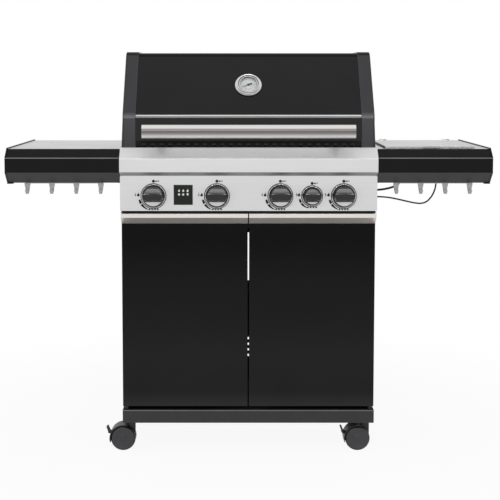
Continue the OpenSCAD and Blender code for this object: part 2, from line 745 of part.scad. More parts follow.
module grease_tray() color("#a4a4a2") {
    difference() {
        box([-tray_half, tray_front, tray_bottom], [tray_half, fire_back + 2, tray_top]);
        box([-tray_half + sheet, tray_front + sheet, tray_bottom + sheet],
            [tray_half - sheet, fire_back + 2 - sheet, tray_top + eps]);
        translate([0, cup_y, tray_bottom - eps]) cylinder(d = 24, h = 3);
    }
    both_sides() box([tray_half - 1, tray_front, tray_top - 2], [tray_half + 5.5, fire_back + 2, tray_top]);
    // Rear plate with its pull, behind the cut-out of the back panel
    box([-tray_half - 14, back_y + seat_gap, tray_bottom - 8],
        [tray_half + 14, back_y + seat_gap + sheet, fire_z - 3]);
    box([-tray_half + 1, fire_back + 1, tray_bottom + 4], [tray_half - 1, back_y + sheet, tray_bottom + 6]);
    box([-50, back_y + 1, tray_bottom + 6], [50, back_y + 16, tray_bottom + 8]);
    // Brackets that hold the cup by its rim
    both_sides() {
        box([cup_r + 6, cup_y - 20, cup_top - 5], [cup_r + 8, cup_y + 20, tray_bottom + 1]);
        box([cup_r + 1, cup_y - 20, cup_top - 5], [cup_r + 8, cup_y + 20, cup_top - 3]);
    }
}

module grease_cup() color("#c0c0be") translate([0, cup_y, 0]) rotate_extrude() polygon([
    [0, cup_top - cup_h], [cup_r - 5, cup_top - cup_h], [cup_r, cup_top - 3 + seat_gap],
    [cup_r + cup_lip, cup_top - 3 + seat_gap], [cup_r + cup_lip, cup_top - 2], [cup_r - 1, cup_top - 2],
    [cup_r - 6, cup_top - cup_h + 1], [0, cup_top - cup_h + 1]
]);

// ---- Side tables ----

module table_sheet(opened) {
    x1 = table_out - end_t;
    low = table_z - table_fold;
    difference() {
        box([half, bull_top_y + sheet, low], [x1, back_y, table_z]);
        box([half + sheet, bull_top_y - eps, low - eps], [x1 - sheet, back_y - sheet, table_z - sheet]);
        if (opened)
            box([sb_x0 + sb_wall, sb_y0 + sb_wall, table_z - 5],
                [sb_x0 + sb_lid_w - sb_wall, sb_y1 - sb_wall, table_z + eps]);
    }
}
module table_left_top() color("#d2d2d2") mirror([1, 0, 0]) table_sheet(false);
module table_right_top() color("#d2d2d2") {
    table_sheet(true);
    // Hinge ears of the side burner's lid, with their pins
    for (x = sb_ear_xs) {
        along_x(x, x + sb_ear_w) {
            translate([sb_hinge_y, sb_hinge_z]) circle(r = sb_pin_d);
            translate([sb_hinge_y - sb_pin_d, table_z - 1])
                square([2 * sb_pin_d, sb_hinge_z - table_z + 1]);
        }
        rod_x(sb_hinge_y, sb_hinge_z, sb_pin_d, x + sb_ear_w - 1, x + sb_ear_w + 10);
    }
}

module table_fascia() {
    x1 = table_out - end_t;
    low = fascia_bottom - 2.5;
    end_face = [
        [bull_top_y - 1, table_z + end_proud], [front_y, crease_z + end_proud], [front_y, fascia_low - 1],
        [front_y + 36, fascia_bottom - 1], [back_y, fascia_bottom - 1], [back_y, table_z + end_proud]
    ];
    along_x(half + seat_gap, x1 + 1) polygon(folded(table_path, sheet));
    along_x(x1, table_out) polygon(end_face);
    box([x1 - 12, front_y + 34, low], [table_out, front_y + 50, fascia_bottom + 0.2]);
    // Inner bracket plate against the cart
    box([half + sheet + seat_gap, bull_top_y + 2, fascia_bottom],
        [half + 3 * sheet, back_y - 2 * sheet, table_z - sheet - seat_gap]);
}
module table_left_fascia() color("#1f1f21") mirror([1, 0, 0]) table_fascia();
module table_right_fascia() color("#1f1f21") table_fascia();

// A J hook: upright blade with a curled foot, tapered towards its tip
module hook() {
    blade_t = 2.5;
    blade_h = 22;
    curl = 7;
    tip = 3.4;
    foot_z = fascia_bottom - rail_t - blade_h;
    intersection() {
        along_x(-hook_w / 2, hook_w / 2) {
            translate([hook_y, foot_z]) square([blade_t, blade_h]);
            translate([hook_y - curl + blade_t, foot_z]) difference() {
                circle(r = curl);
                circle(r = curl - blade_t);
                translate([-2 * curl, 0]) square([4 * curl, 2 * curl]);
            }
            translate([hook_y - 2 * curl + blade_t, foot_z - 0.1]) square([blade_t, 5]);
        }
        along_y(hook_y - 4 * curl, hook_y + 4 * curl) polygon([
            [-hook_w / 2, foot_z + blade_h], [hook_w / 2, foot_z + blade_h],
            [tip, foot_z - curl], [-tip, foot_z - curl]
        ]);
    }
}

module hook_rails() color("#c4c4c4") both_sides() {
    rail_half = 1.5 * hook_pitch + 6;
    box([hook_mid - rail_half, hook_y - 6, fascia_bottom - rail_t],
        [hook_mid + rail_half, hook_y + 8, fascia_bottom]);
    for (i = [-1.5:1:1.5]) translate([hook_mid + i * hook_pitch, 0, 0]) hook();
}

// ---- Side burner ----

module side_burner() color("#1d1d1e") {
    x0 = sb_x0 + sb_wall + seat_gap;
    x1 = sb_x0 + sb_lid_w - sb_wall - seat_gap;
    y0 = sb_y0 + sb_wall + seat_gap;
    y1 = sb_y1 - sb_wall - seat_gap;
    difference() {
        union() {
            box([x0, y0, sb_floor], [x1, y1, table_z + 1]);
            box([x0 - 8, y0 - 8, table_z], [x1 + 8, y1 + 8, table_z + 1]);
        }
        box([x0 + 1, y0 + 1, sb_floor + 1], [x1 - 1, y1 - 1, table_z + 2]);
    }
    // Burner head on its pedestal
    translate([sb_mid[0], sb_mid[1], sb_floor]) {
        cylinder(d = 0.4 * sb_head_d, h = sb_head_up - 6);
        translate([0, 0, sb_head_up - 12]) cylinder(d1 = 0.7 * sb_head_d, d2 = 1.1 * sb_head_d, h = 12);
        translate([0, 0, sb_head_up]) cylinder(d = sb_head_d, h = 6);
    }
}

module side_burner_grate() color("#2b2b2c") {
    out = sb_grate_half;
    rod = 7;
    high = 8;
    top = table_z - 4;
    translate([sb_mid[0], sb_mid[1], top - high]) {
        difference() {
            box([-out, -out, 0], [out, out, high]);
            box([-out + rod, -out + rod, -eps], [out - rod, out - rod, high + eps]);
        }
        for (a = [0:90:270]) rotate(a) box([out / 3, -rod / 2, 0], [out - 1, rod / 2, high]);
    }
    leg_at = out - rod / 2;
    for (x = [-leg_at, leg_at]) for (y = [-leg_at, leg_at])
        translate([sb_mid[0] + x, sb_mid[1] + y, sb_floor + 1]) cylinder(d = rod, h = top - sb_floor - 4);
}

module side_burner_lid() color("#d6d6d6") {
    top = sb_lid_z + sb_lid_h;
    difference() {
        box([sb_x0, sb_y0, sb_lid_z], [sb_x0 + sb_lid_w, sb_y1, top]);
        box([sb_x0 + 1, sb_y0 + 1, sb_lid_z - eps], [sb_x0 + sb_lid_w - 1, sb_y1 - 1, top - 1]);
    }
    // Lifting tab
    box([sb_mid[0] - 22, sb_y0 - 9, top - 1], [sb_mid[0] + 26, sb_y0 + 1, top]);
    // Hinge lugs
    for (x = sb_ear_xs) translate([x + sb_ear_w + seat_gap, 0, 0]) difference() {
        along_x(0, 9) {
            translate([sb_hinge_y, sb_hinge_z]) circle(r = sb_pin_d - seat_gap);
            translate([sb_y1 - 1, top - 3]) square([sb_hinge_y - sb_y1 + 1, 3]);
        }
        rod_x(sb_hinge_y, sb_hinge_z, sb_pin_d + 2 * run_gap, -eps, 9 + eps);
    }
}

// ---- Cords ----

module ignition_lead() color("#1a1a1a") translate(cord_origin) cord(lead_route, lead_d, 8, 2);
module burner_hose() color("#161616") translate(cord_origin) cord(hose_route, hose_d, 10, 2);

// Glands in the side panel, and under the side burner's bowl
module grommets() color("#101010") translate(cord_origin) for (c = cords) {
    out = c[0][0];
    in = c[0][len(c[0]) - 1];
    rod_x(out[1], out[2], c[1] + gland_t + 3, 0, gland_out / 2);
    rod_x(out[1], out[2], c[1] + gland_t, -2 * sheet, gland_out - seat_gap);
    translate([in[0], in[1], -gland_in + seat_gap]) cylinder(d = c[1] + gland_t + 1, h = gland_in - seat_gap);
}

module screws() color("#8f8f8f") {
    // Bolts that hold the tables to the side panels, inside the cabinet
    both_sides() for (y = screw_ys) rod_x(y, table_z - 60, 12, inner - 4, inner);
    // Screws of the side panels on the base pan
    both_sides() for (y = screw_ys)
        translate([half - 10, y, base_top + sheet]) cylinder(d = 9, h = 3);
    // Handle screws inside the lid
    both_sides() rod_y(post_x, handle_z + handle_h / 2, 13, lid_y + sheet, lid_y + sheet + 4);
    // Screws of the touch panel's frame, on the panel's rear
    for (z = [-1, 1])
        rod_y(touch_x + touch_w / 2 + 5, touch_z + z * 20, 7, panel_y + sheet, panel_y + sheet + 3);
}

// ---- Lid ----

module lid_shell() color("#101011") difference() {
    along_x(-lid_half, lid_half) polygon(folded(lid_path, -sheet));
    on_slope() cylinder(d = 8.6, h = 12, center = true);
    both_sides() rod_y(post_x, handle_z + handle_h / 2, 6.6, lid_y - eps, lid_y + sheet + eps);
}

// One end cap: a rim around the sheet's end, an end wall, and the hinge lug
module lid_end_cap() {
    rim_path = shifted(lid_path, cap_proud);
    outer = concat([[lid_y - cap_proud, cap_low]], rim_path, [[hinge_lid_y - 6, cap_low + 22]]);
    inside = shifted(lid_path, -4);
    room = concat([[lid_y + 4, cap_low - eps]], inside, [[hinge_lid_y - 16, cap_low - eps]]);
    foot_back = back_y - 20;
    difference() {
        union() {
            difference() {
                along_x(lid_half, lid_half + cap_w) polygon(concat(outer, [[hinge_lid_y - 30, cap_low]]));
                along_x(lid_half - eps, wall_x) polygon(room);
            }
            // Flared skirt at the foot of the end wall
            hull() {
                box([wall_x + 3, lid_y + 14, cap_low], [lid_half + cap_w + 4.4, foot_back, cap_low + 6]);
                along_x(wall_x + 2, wall_x + 3) polygon([
                    [lid_y + 14, cap_low], [lid_y + 14, cap_low + skirt_h],
                    [foot_back - 14, cap_low + skirt_h], [foot_back, cap_low]
                ]);
            }
            along_x(lid_half + 2.4, lid_half + lug_w) {
                translate([hinge_lid_y, hinge_lid_z]) circle(r = hinge_boss_r);
                translate([hinge_lid_y - 12, hinge_lid_z]) square([12, 34]);
            }
        }
        rod_x(hinge_lid_y, hinge_lid_z, lid_pin_d + 2 * run_gap, lid_half, lid_half + cap_w - 5);
    }
    // Rubber-footed stop that rests on the firebox
    box([wall_x - 3, lid_y + 30, rim_z + seat_gap], [lid_half + cap_w, lid_y + 50, cap_low + 2]);
}
module lid_end_caps() color("#4b494e") both_sides() lid_end_cap();

module lid_handle() color("#c9c5bf") {
    mid = handle_z + handle_h / 2;
    bow_r = (pow(handle_h / 2, 2) + pow(handle_bow, 2)) / (2 * handle_bow);
    half_a = asin(handle_h / 2 / bow_r);
    bow = arc([handle_y + bow_r - handle_bow, mid], bow_r, 180 - half_a, 180 + half_a, 12);
    rear = handle_y + 5;
    along_x(-handle_l / 2, handle_l / 2)
        polygon(concat(bow, [[rear, handle_z], [rear, handle_z + handle_h]]));
    both_sides() {
        rod_y(post_x, mid, 14, rear - 1, lid_y);
        rod_y(post_x, mid, 24, lid_y - 3, lid_y);
        rod_y(post_x, mid, 6, lid_y - 1, lid_y + sheet);
    }
}

module thermometer_case() color("#d5d5d5") on_slope() {
    r = thermo_d / 2;
    rotate_extrude() polygon([
        [3, 0], [r, 0], [r, 7], [r - 2.5, 10.5], [r - 6, thermo_h], [dial_r + 0.3, thermo_h - 1.5],
        [dial_r + 0.3, 2], [3, 2]
    ]);
    difference() {
        translate([0, 0, -probe_l]) cylinder(d = 8, h = probe_l + 1);
        translate([0, 0, -6]) cylinder(d = 4, h = 10);
    }
    translate([0, 0, -sheet - 6]) difference() {
        cylinder(d = 18, h = 6, $fn = 6);
        translate([0, 0, -1]) cylinder(d = 6, h = 8);
    }
}

module thermometer_dial() color("#f2f2ee") on_slope() difference() {
    translate([0, 0, 2]) cylinder(r = dial_r, h = 1);
    translate([0, 0, 1]) cylinder(r = 1.5 + run_gap, h = 3);
}

// Pointer with a thick counterweight, turned to the low end of the scale
module thermometer_needle() color("#1a1a1a") on_slope() {
    translate([0, 0, -4]) cylinder(r = 1.5, h = 9);
    translate([0, 0, 4.5]) rotate(205) linear_extrude(0.8) {
        polygon([[0, -1.2], [dial_r - 7, -0.4], [dial_r - 7, 0.4], [0, 1.2]]);
        translate([-11, -2]) square([11, 4]);
        circle(r = 3.4);
    }
}

module thermometer_glass() color("#dfe8ea", 0.35) on_slope()
    translate([0, 0, 8]) cylinder(r = dial_r + 0.2, h = 1.5);

// ---- Nodes ----

base_pan();
side_panel_left();
side_panel_right();
back_panel();
front_crossbar();
firebox();
control_panel();
knob_bezels();
touch_panel();
gas_manifold();
burners();
flame_tamers();
cooking_grates();
warming_rack();
grease_tray();
grease_cup();
table_left_top();
table_left_fascia();
table_right_top();
table_right_fascia();
side_burner();
side_burner_grate();
side_burner_lid();
hook_rails();
ignition_lead();
burner_hose();
grommets();
screws();
lid_shell();
lid_end_caps();
lid_handle();
thermometer_case();
thermometer_dial();
thermometer_needle();
thermometer_glass();
door_left();
door_right();
door_handle_left();
door_handle_right();
caster_plates();
caster_fork(0, true);  // caster_fork_1
caster_fork(1, true);  // caster_fork_2
caster_fork(2, false);  // caster_fork_3
caster_fork(3, false);  // caster_fork_4
caster_wheel(0);  // caster_wheel_1
caster_wheel(1);  // caster_wheel_2
caster_wheel(2);  // caster_wheel_3
caster_wheel(3);  // caster_wheel_4
caster_brake(0);  // caster_brake_1
caster_brake(1);  // caster_brake_2
knob_1();
knob_2();
knob_3();
knob_4();
knob_5();
tap_plug_1();
tap_plug_2();
tap_plug_3();
tap_plug_4();
tap_plug_5();
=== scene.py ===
import json
import math

import bmesh
import bpy
from mathutils import Matrix, Vector


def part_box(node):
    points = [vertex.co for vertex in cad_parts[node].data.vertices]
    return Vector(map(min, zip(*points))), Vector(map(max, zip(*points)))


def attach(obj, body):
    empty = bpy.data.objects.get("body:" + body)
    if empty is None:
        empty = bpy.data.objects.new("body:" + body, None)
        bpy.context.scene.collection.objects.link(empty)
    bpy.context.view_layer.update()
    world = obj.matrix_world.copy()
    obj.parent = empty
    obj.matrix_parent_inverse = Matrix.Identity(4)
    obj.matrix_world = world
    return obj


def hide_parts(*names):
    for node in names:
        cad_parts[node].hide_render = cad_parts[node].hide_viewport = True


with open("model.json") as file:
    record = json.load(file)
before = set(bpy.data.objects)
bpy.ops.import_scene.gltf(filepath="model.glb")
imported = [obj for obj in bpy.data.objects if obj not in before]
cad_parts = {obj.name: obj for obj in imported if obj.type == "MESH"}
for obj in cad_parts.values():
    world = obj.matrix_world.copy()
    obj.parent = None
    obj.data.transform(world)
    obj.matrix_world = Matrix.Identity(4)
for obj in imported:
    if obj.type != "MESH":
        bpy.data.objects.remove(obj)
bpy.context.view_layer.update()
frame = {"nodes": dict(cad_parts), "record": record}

MM = 0.001
scene = bpy.context.scene
scene.view_settings.view_transform = "Standard"


# ---------------------------------------------------------------- camera

LENS, SENSOR = 84.1, 36                # in millimetres
SHIFT_X, SHIFT_Y = 0.035, -0.15        # the picture's shift, in parts of its width
EYE = (-0.0443, -3.42, 1.058)          # in metres
LOOKS_DOWN = 4.73                      # in degrees


def make_camera():
    data = bpy.data.cameras.new("camera")
    data.lens, data.sensor_width = LENS, SENSOR
    data.shift_x, data.shift_y = SHIFT_X, SHIFT_Y
    data.dof.use_dof = False
    cam = bpy.data.objects.new("camera", data)
    scene.collection.objects.link(cam)
    cam.location = EYE
    cam.rotation_mode = "XYZ"
    cam.rotation_euler = (math.radians(90 - LOOKS_DOWN), 0, 0)
    scene.camera = cam


make_camera()


# ---------------------------------------------------------------- named places, in millimetres

def node_box(node):
    low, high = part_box(node)
    return low / MM, high / MM


CART = node_box("base_pan")
PANEL = node_box("control_panel")
LID = node_box("lid_shell")
CAPS = node_box("lid_end_caps")
TABLE = node_box("table_right_fascia")
TOUCH = node_box("touch_panel")

HALF = PANEL[1].x                      # half the cart's width
TABLE_OUT = TABLE[1].x                 # half the width over the side tables
FACE = PANEL[0].y + 19                 # the upright face with the knobs, behind the bullnose
LID_Y, LID_Z = LID[0].y, LID[0].z      # the lid's lower front edge
LID_HALF = LID[1].x
LID_SHEET = 1.5                        # thickness of the lid's sheet
LID_TILT = math.radians(37)            # the lean of its slope from upright
SLOPE = 203                            # the slope's length
# In (y, z): the fold between the upright front and the slope, the slope's directions and its middle
LID_FOLD = Vector((LID_Y, LID_Z + 83))
SLOPE_DIR = Vector((math.sin(LID_TILT), math.cos(LID_TILT)))
SLOPE_OUT = Vector((-math.cos(LID_TILT), math.sin(LID_TILT)))
SLOPE_MID = LID_FOLD + SLOPE_DIR * SLOPE / 2
UPRIGHT = Matrix.Rotation(math.pi / 2, 4, "X")     # turns local Y up and local Z to the front


# ---------------------------------------------------------------- mesh helpers, in millimetres

MERGE = 0.002                          # vertices nearer than this become one
FLAT = math.radians(0.4)               # edges that turn by less are dissolved
SHARP = math.radians(28)               # edges that turn by more are rounded


def link(name, mesh):
    obj = bpy.data.objects.new(name, mesh)
    scene.collection.objects.link(obj)
    return obj


def grain_map(mesh, axis):
    """A UV map whose U runs along the brushing, for the metal's grain."""
    layer = mesh.uv_layers.new(name="grain")
    others = [a for a in range(3) if a != axis]
    for loop in mesh.loops:
        p = mesh.vertices[loop.vertex_index].co
        layer.data[loop.index].uv = (p[axis], p[others[0]] + p[others[1]])


def dress(bm, name, crease=32.0, axis=0):
    """Turns a bmesh in millimetres into an object, smooth but for edges over the crease angle."""
    bmesh.ops.remove_doubles(bm, verts=bm.verts, dist=MERGE)
    bmesh.ops.recalc_face_normals(bm, faces=bm.faces)
    for face in bm.faces:
        face.smooth = True
    for edge in bm.edges:
        edge.smooth = len(edge.link_faces) == 2 and edge.calc_face_angle(0) < math.radians(crease)
    bmesh.ops.scale(bm, vec=(MM, MM, MM), verts=bm.verts)
    mesh = bpy.data.meshes.new(name)
    bm.to_mesh(mesh)
    bm.free()
    grain_map(mesh, axis)
    return link(name, mesh)


def rounded_edges(bm, width, segments):
    """Rounds every edge between faces that turn sharply."""
    sharp = [e for e in bm.edges if len(e.link_faces) == 2 and e.calc_face_angle(0) > SHARP]
    bmesh.ops.bevel(bm, geom=sharp, offset=width, offset_type="OFFSET", segments=segments,
                    profile=0.5, affect="EDGES", clamp_overlap=True)


def hardened(obj):
    """Keeps the large faces flat in their shading, beside their rounded edges."""
    obj.modifiers.new("weighted", "WEIGHTED_NORMAL").keep_sharp = True
    shaped = obj.evaluated_get(bpy.context.evaluated_depsgraph_get())
    mesh, old = bpy.data.meshes.new_from_object(shaped), obj.data
    obj.modifiers.clear()
    obj.data = mesh
    bpy.data.meshes.remove(old)
    return obj


def softened(node, width, segments, axis=0):
    """The CAD node's own shape with its sharp edges rounded."""
    source = frame["nodes"][node]
    bm = bmesh.new()
    bm.from_mesh(source.data)
    bm.transform(Matrix.Scale(1 / MM, 4) @ source.matrix_world)
    bmesh.ops.remove_doubles(bm, verts=bm.verts, dist=MERGE)
    bmesh.ops.dissolve_limit(bm, angle_limit=FLAT, verts=bm.verts, edges=bm.edges)
    rounded_edges(bm, width, segments)
    return hardened(dress(bm, node + "_look", axis=axis))


def rounded_corner(a, p, b, radius, steps=8):
    """Points on a curve near an arc of the radius, in place of the corner p between a and b."""
    u, v = (a - p).normalized(), (b - p).normalized()
    cut = radius * math.tan((math.pi - u.angle(v)) / 2)
    start, end = p + u * cut, p + v * cut
    pull = 0.58 * p + 0.21 * (start + end)         # the curve's control point, short of the corner
    return [(1 - t) ** 2 * start + 2 * t * (1 - t) * pull + t ** 2 * end
            for t in (k / steps for k in range(steps + 1))]


def arc(cx, cy, r, a0, a1, n):
    """Points on an arc between two angles in degrees."""
    return [Vector((cx + r * math.cos(t), cy + r * math.sin(t)))
            for t in (math.radians(a0 + (a1 - a0) * k / n) for k in range(n + 1))]


def offset_path(path, d):
    """The path moved by d to the left of its direction."""
    out = []
    for i, p in enumerate(path):
        a = path[max(i - 1, 0)]
        b = path[min(i + 1, len(path) - 1)]
        n1 = (p - a).normalized() if i > 0 else (b - p).normalized()
        n2 = (b - p).normalized() if i < len(path) - 1 else n1
        l1, l2 = Vector((-n1.y, n1.x)), Vector((-n2.y, n2.x))
        out.append(p + (l1 + l2) * d / (1 + l1.dot(l2)))
    return out


def loft(bm, rings):
    """Walls from ring to ring of vertices, with flat ends."""
    n = len(rings[0])
    for a, b in zip(rings, rings[1:]):
        for i in range(n):
            bm.faces.new((a[i], a[(i + 1) % n], b[(i + 1) % n], b[i]))
    bm.faces.new(rings[0][::-1])
    bm.faces.new(rings[-1])


def ring_at(bm, x, outline):
    return [bm.verts.new((x, q[0], q[1])) for q in outline]


def extrude_x(bm, outline, xs):
    """A solid along X: the closed (y, z) outline at each of the stations xs."""
    loft(bm, [ring_at(bm, x, outline) for x in xs])


def ringed(bm, outline, stations):
    """A solid along X: at each station (x, inset) the closed outline, drawn in by the inset."""
    loop = [outline[-1], *outline, outline[0]]
    area = sum(a.x * b.y - b.x * a.y for a, b in zip(loop, loop[1:-1]))
    inward = 1 if area > 0 else -1
    loft(bm, [ring_at(bm, x, offset_path(loop, inward * inset)[1:-1] if inset else outline)
              for x, inset in stations])


def place(bm, matrix, since):
    """Transforms the vertices made since the given count."""
    bm.verts.ensure_lookup_table()
    bmesh.ops.transform(bm, matrix=matrix, verts=bm.verts[since:])


def lathe(bm, profile, segments, matrix=None, closed=False):
    """Turns an (r, h) profile about local Z, and places it by the matrix."""
    since = len(bm.verts)
    rings = []
    for r, h in profile:
        if r < 1e-6:
            rings.append([bm.verts.new((0, 0, h))])
        else:
            rings.append([bm.verts.new((r * math.cos(t), r * math.sin(t), h))
                          for t in (2 * math.pi * k / segments for k in range(segments))])
    pairs = list(zip(rings, rings[1:])) + ([(rings[-1], rings[0])] if closed else [])
    for a, b in pairs:
        for k in range(segments):
            m = (k + 1) % segments
            if len(a) == 1 and len(b) == 1:
                break
            if len(a) == 1:
                bm.faces.new((a[0], b[m], b[k]))
            elif len(b) == 1:
                bm.faces.new((a[k], a[m], b[0]))
            else:
                bm.faces.new((a[k], a[m], b[m], b[k]))
    if matrix is not None:
        place(bm, matrix, since)


def on_face(x, z, out=0.0):
    """Local X to the right, Y up and Z out of the panel's upright face."""
    return Matrix.Translation((x, FACE - out, z)) @ UPRIGHT


def on_slope(out=0.0):
    """Local X to the right, Y up the lid's slope and Z out of it."""
    at = SLOPE_MID + SLOPE_OUT * out
    return Matrix.Translation((0, at.x, at.y)) @ Matrix.Rotation(math.pi / 2 - LID_TILT, 4, "X")


def plate(bm, points, thickness, matrix):
    """A thin flat shape, for printed marks."""
    since = len(bm.verts)
    loft(bm, [[bm.verts.new((p[0], p[1], z)) for p in points] for z in (0, thickness)])
    place(bm, matrix, since)


def bar(x0, z0, x1, z1):
    return [(x0, z0), (x1, z0), (x1, z1), (x0, z1)]


def disc(x, z, r):
    n = 20
    turns = [2 * math.pi * k / n for k in range(n)]
    return [(x + r * math.cos(t), z + r * math.sin(t)) for t in turns]


def band(r0, r1, a0, a1, taper=0.0, n=14):
    """A ring segment between two angles in degrees, thinner towards its end by the taper."""
    turn = [math.radians(a0 + (a1 - a0) * k / n) for k in range(n + 1)]
    mid, wide = (r0 + r1) / 2, (r1 - r0) / 2
    out = []
    for sign in (1, -1):
        for k in (range(n + 1) if sign > 0 else range(n, -1, -1)):
            r = mid + sign * wide * (1 - taper * k / n)
            out.append((r * math.cos(turn[k]), r * math.sin(turn[k])))
    return out


def moved(points, dx, dz, size=1.0):
    return [(dx + size * x, dz + size * z) for x, z in points]


def give(obj, material, body, *nodes, slot):
    """Material, body and the CAD nodes that this piece stands for; the slot is not used."""
    obj.data.materials.clear()
    obj.data.materials.append(material)
    if nodes:
        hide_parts(*nodes)
    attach(obj, body)
    return obj


# ---------------------------------------------------------------- materials

BUMP_HEIGHT = 0.0004                   # in metres
PEEL = 0.03                            # strength of the enamel's orange peel
MAP_RANGE = ("From Min", "From Max", "To Min", "To Max")


class Paint:
    """A Principled material with a few named helpers for its node tree."""

    def __init__(self, name, **sockets):
        self.mat = bpy.data.materials.new(name)
        self.mat.use_nodes = True
        self.tree = self.mat.node_tree
        self.shader = self.tree.nodes["Principled BSDF"]
        self.coords = self.tree.nodes.new("ShaderNodeTexCoord")
        for key, value in sockets.items():
            self.shader.inputs[key.replace("_", " ")].default_value = value

    def noise(self, scale, detail, stretch=None):
        node = self.tree.nodes.new("ShaderNodeTexNoise")
        node.inputs["Scale"].default_value = scale
        node.inputs["Detail"].default_value = detail
        source = self.coords.outputs["Object"]
        if stretch:
            mapping = self.tree.nodes.new("ShaderNodeMapping")
            mapping.inputs["Scale"].default_value = stretch
            self.tree.links.new(source, mapping.inputs["Vector"])
            source = mapping.outputs["Vector"]
        self.tree.links.new(source, node.inputs["Vector"])
        return node.outputs["Fac"]

    def ramp(self, fac, low, high, start=0.3, end=0.7):
        """Maps a factor onto the range from low to high: numbers, or colours."""
        if isinstance(low, tuple):
            node = self.tree.nodes.new("ShaderNodeValToRGB")
            node.color_ramp.elements[0].position = start
            node.color_ramp.elements[1].position = end
            node.color_ramp.elements[0].color = (*low, 1)
            node.color_ramp.elements[1].color = (*high, 1)
            self.tree.links.new(fac, node.inputs["Fac"])
            return node.outputs["Color"]
        node = self.tree.nodes.new("ShaderNodeMapRange")
        for key, value in zip(MAP_RANGE, (start, end, low, high)):
            node.inputs[key].default_value = value
        self.tree.links.new(fac, node.inputs["Value"])
        return node.outputs["Result"]

    def shaded(self, colour, stops, by="Normal", span=(-1, 1)):
        """The colour times a grey that follows how far the surface faces up, a painted light and
        shade: pairs of (up, grey).

        With by="Object" it depends on the height instead, in metres within the span.
        """
        split = self.tree.nodes.new("ShaderNodeSeparateXYZ")
        self.tree.links.new(self.coords.outputs[by], split.inputs[0])
        up = self.tree.nodes.new("ShaderNodeMapRange")
        up.inputs["From Min"].default_value, up.inputs["From Max"].default_value = span
        self.tree.links.new(split.outputs["Z"], up.inputs["Value"])
        grey = self.tree.nodes.new("ShaderNodeValToRGB")
        elements = grey.color_ramp.elements
        while len(elements) < len(stops):
            elements.new(0.5)
        for element, (at, value) in zip(elements, stops):
            element.position = (at - span[0]) / (span[1] - span[0])
            element.color = (value, value, value, 1)
        self.tree.links.new(up.outputs["Result"], grey.inputs["Fac"])
        mix = self.tree.nodes.new("ShaderNodeMix")
        mix.data_type = "RGBA"
        mix.blend_type = "MULTIPLY"
        mix.inputs["Factor"].default_value = 1
        self.tree.links.new(colour, mix.inputs["A"])
        self.tree.links.new(grey.outputs["Color"], mix.inputs["B"])
        return mix.outputs["Result"]

    def painted_reflection_dim(self, level, stops):
        """The reflection's strength, times a factor that follows how far the surface faces up:
        painted shade in the reflections.
        """
        even = self.ramp(self.noise(9, 4), (level * 0.96,) * 3, (level,) * 3)
        return self.feed(self.shaded(even, stops), "Specular IOR Level")

    def feed(self, output, socket):
        self.tree.links.new(output, self.shader.inputs[socket])
        return self

    def bump(self, height, strength):
        node = self.tree.nodes.new("ShaderNodeBump")
        node.inputs["Strength"].default_value = strength
        node.inputs["Distance"].default_value = BUMP_HEIGHT
        self.tree.links.new(height, node.inputs["Height"])
        self.tree.links.new(node.outputs["Normal"], self.shader.inputs["Normal"])
        return self

    def brushed(self, amount):
        node = self.tree.nodes.new("ShaderNodeTangent")
        node.direction_type = "UV_MAP"
        node.uv_map = "grain"
        self.shader.inputs["Anisotropic"].default_value = amount
        self.tree.links.new(node.outputs["Tangent"], self.shader.inputs["Tangent"])
        return self


def gloss(name, low, high, rough, level, painted_light_tilt=None, painted_reflection_dim=None, painted_floor_reflection=None):
    """Gloss enamel with a faint orange peel; a grey that changes with the height can make it
    lighter towards the bottom, a painted reflection of the floor.
    """
    p = Paint(name, Specular_IOR_Level=level)
    colour = p.ramp(p.noise(9, 4), low, high)
    if painted_floor_reflection:
        colour = p.shaded(colour, painted_floor_reflection, "Object", (0, 1))
    p.feed(p.shaded(colour, painted_light_tilt) if painted_light_tilt else colour, "Base Color")
    if painted_reflection_dim:
        p.painted_reflection_dim(level, painted_reflection_dim)
    p.feed(p.ramp(p.noise(60, 5), *rough), "Roughness")
    return p.bump(p.noise(420, 2), PEEL).mat


def powder(name, low, high, rough, grain=900, depth=0.12, level=0.4, painted_light_tilt=None, painted_reflection_dim=None):
    """Powder coat, castings and moulded plastic: an even, fine grain, with painted light and shade
    and dimmed reflections that follow the tilt where they are given.
    """
    p = Paint(name, Specular_IOR_Level=level)
    if painted_reflection_dim:
        p.painted_reflection_dim(level, painted_reflection_dim)
    colour = p.ramp(p.noise(14, 5), low, high)
    p.feed(p.shaded(colour, painted_light_tilt) if painted_light_tilt else colour, "Base Color")
    p.feed(p.ramp(p.noise(grain * 0.5, 3), *rough), "Roughness")
    return p.bump(p.noise(grain, 2), depth).mat


def steel(name, low, high, rough=(0.32, 0.4), stretch=(3, 500, 500), brush=0.35, depth=0.04,
          metallic=1.0, painted_light_tilt=None):
    """Brushed steel: lines along one axis, soft cloudy patches and a painted light and shade that
    follow the tilt.
    """
    p = Paint(name, Metallic=metallic)
    lines = p.noise(1.6, 4, stretch)
    colour = p.ramp(lines, low, high, 0.25, 0.75)
    p.feed(p.shaded(colour, painted_light_tilt) if painted_light_tilt else colour, "Base Color")
    p.feed(p.ramp(p.noise(7, 3), *rough), "Roughness")
    return p.bump(lines, depth).brushed(brush).mat


PLATED = {"stretch": (40, 40, 40), "brush": 0.0, "depth": 0.01}    # chrome, without brushing


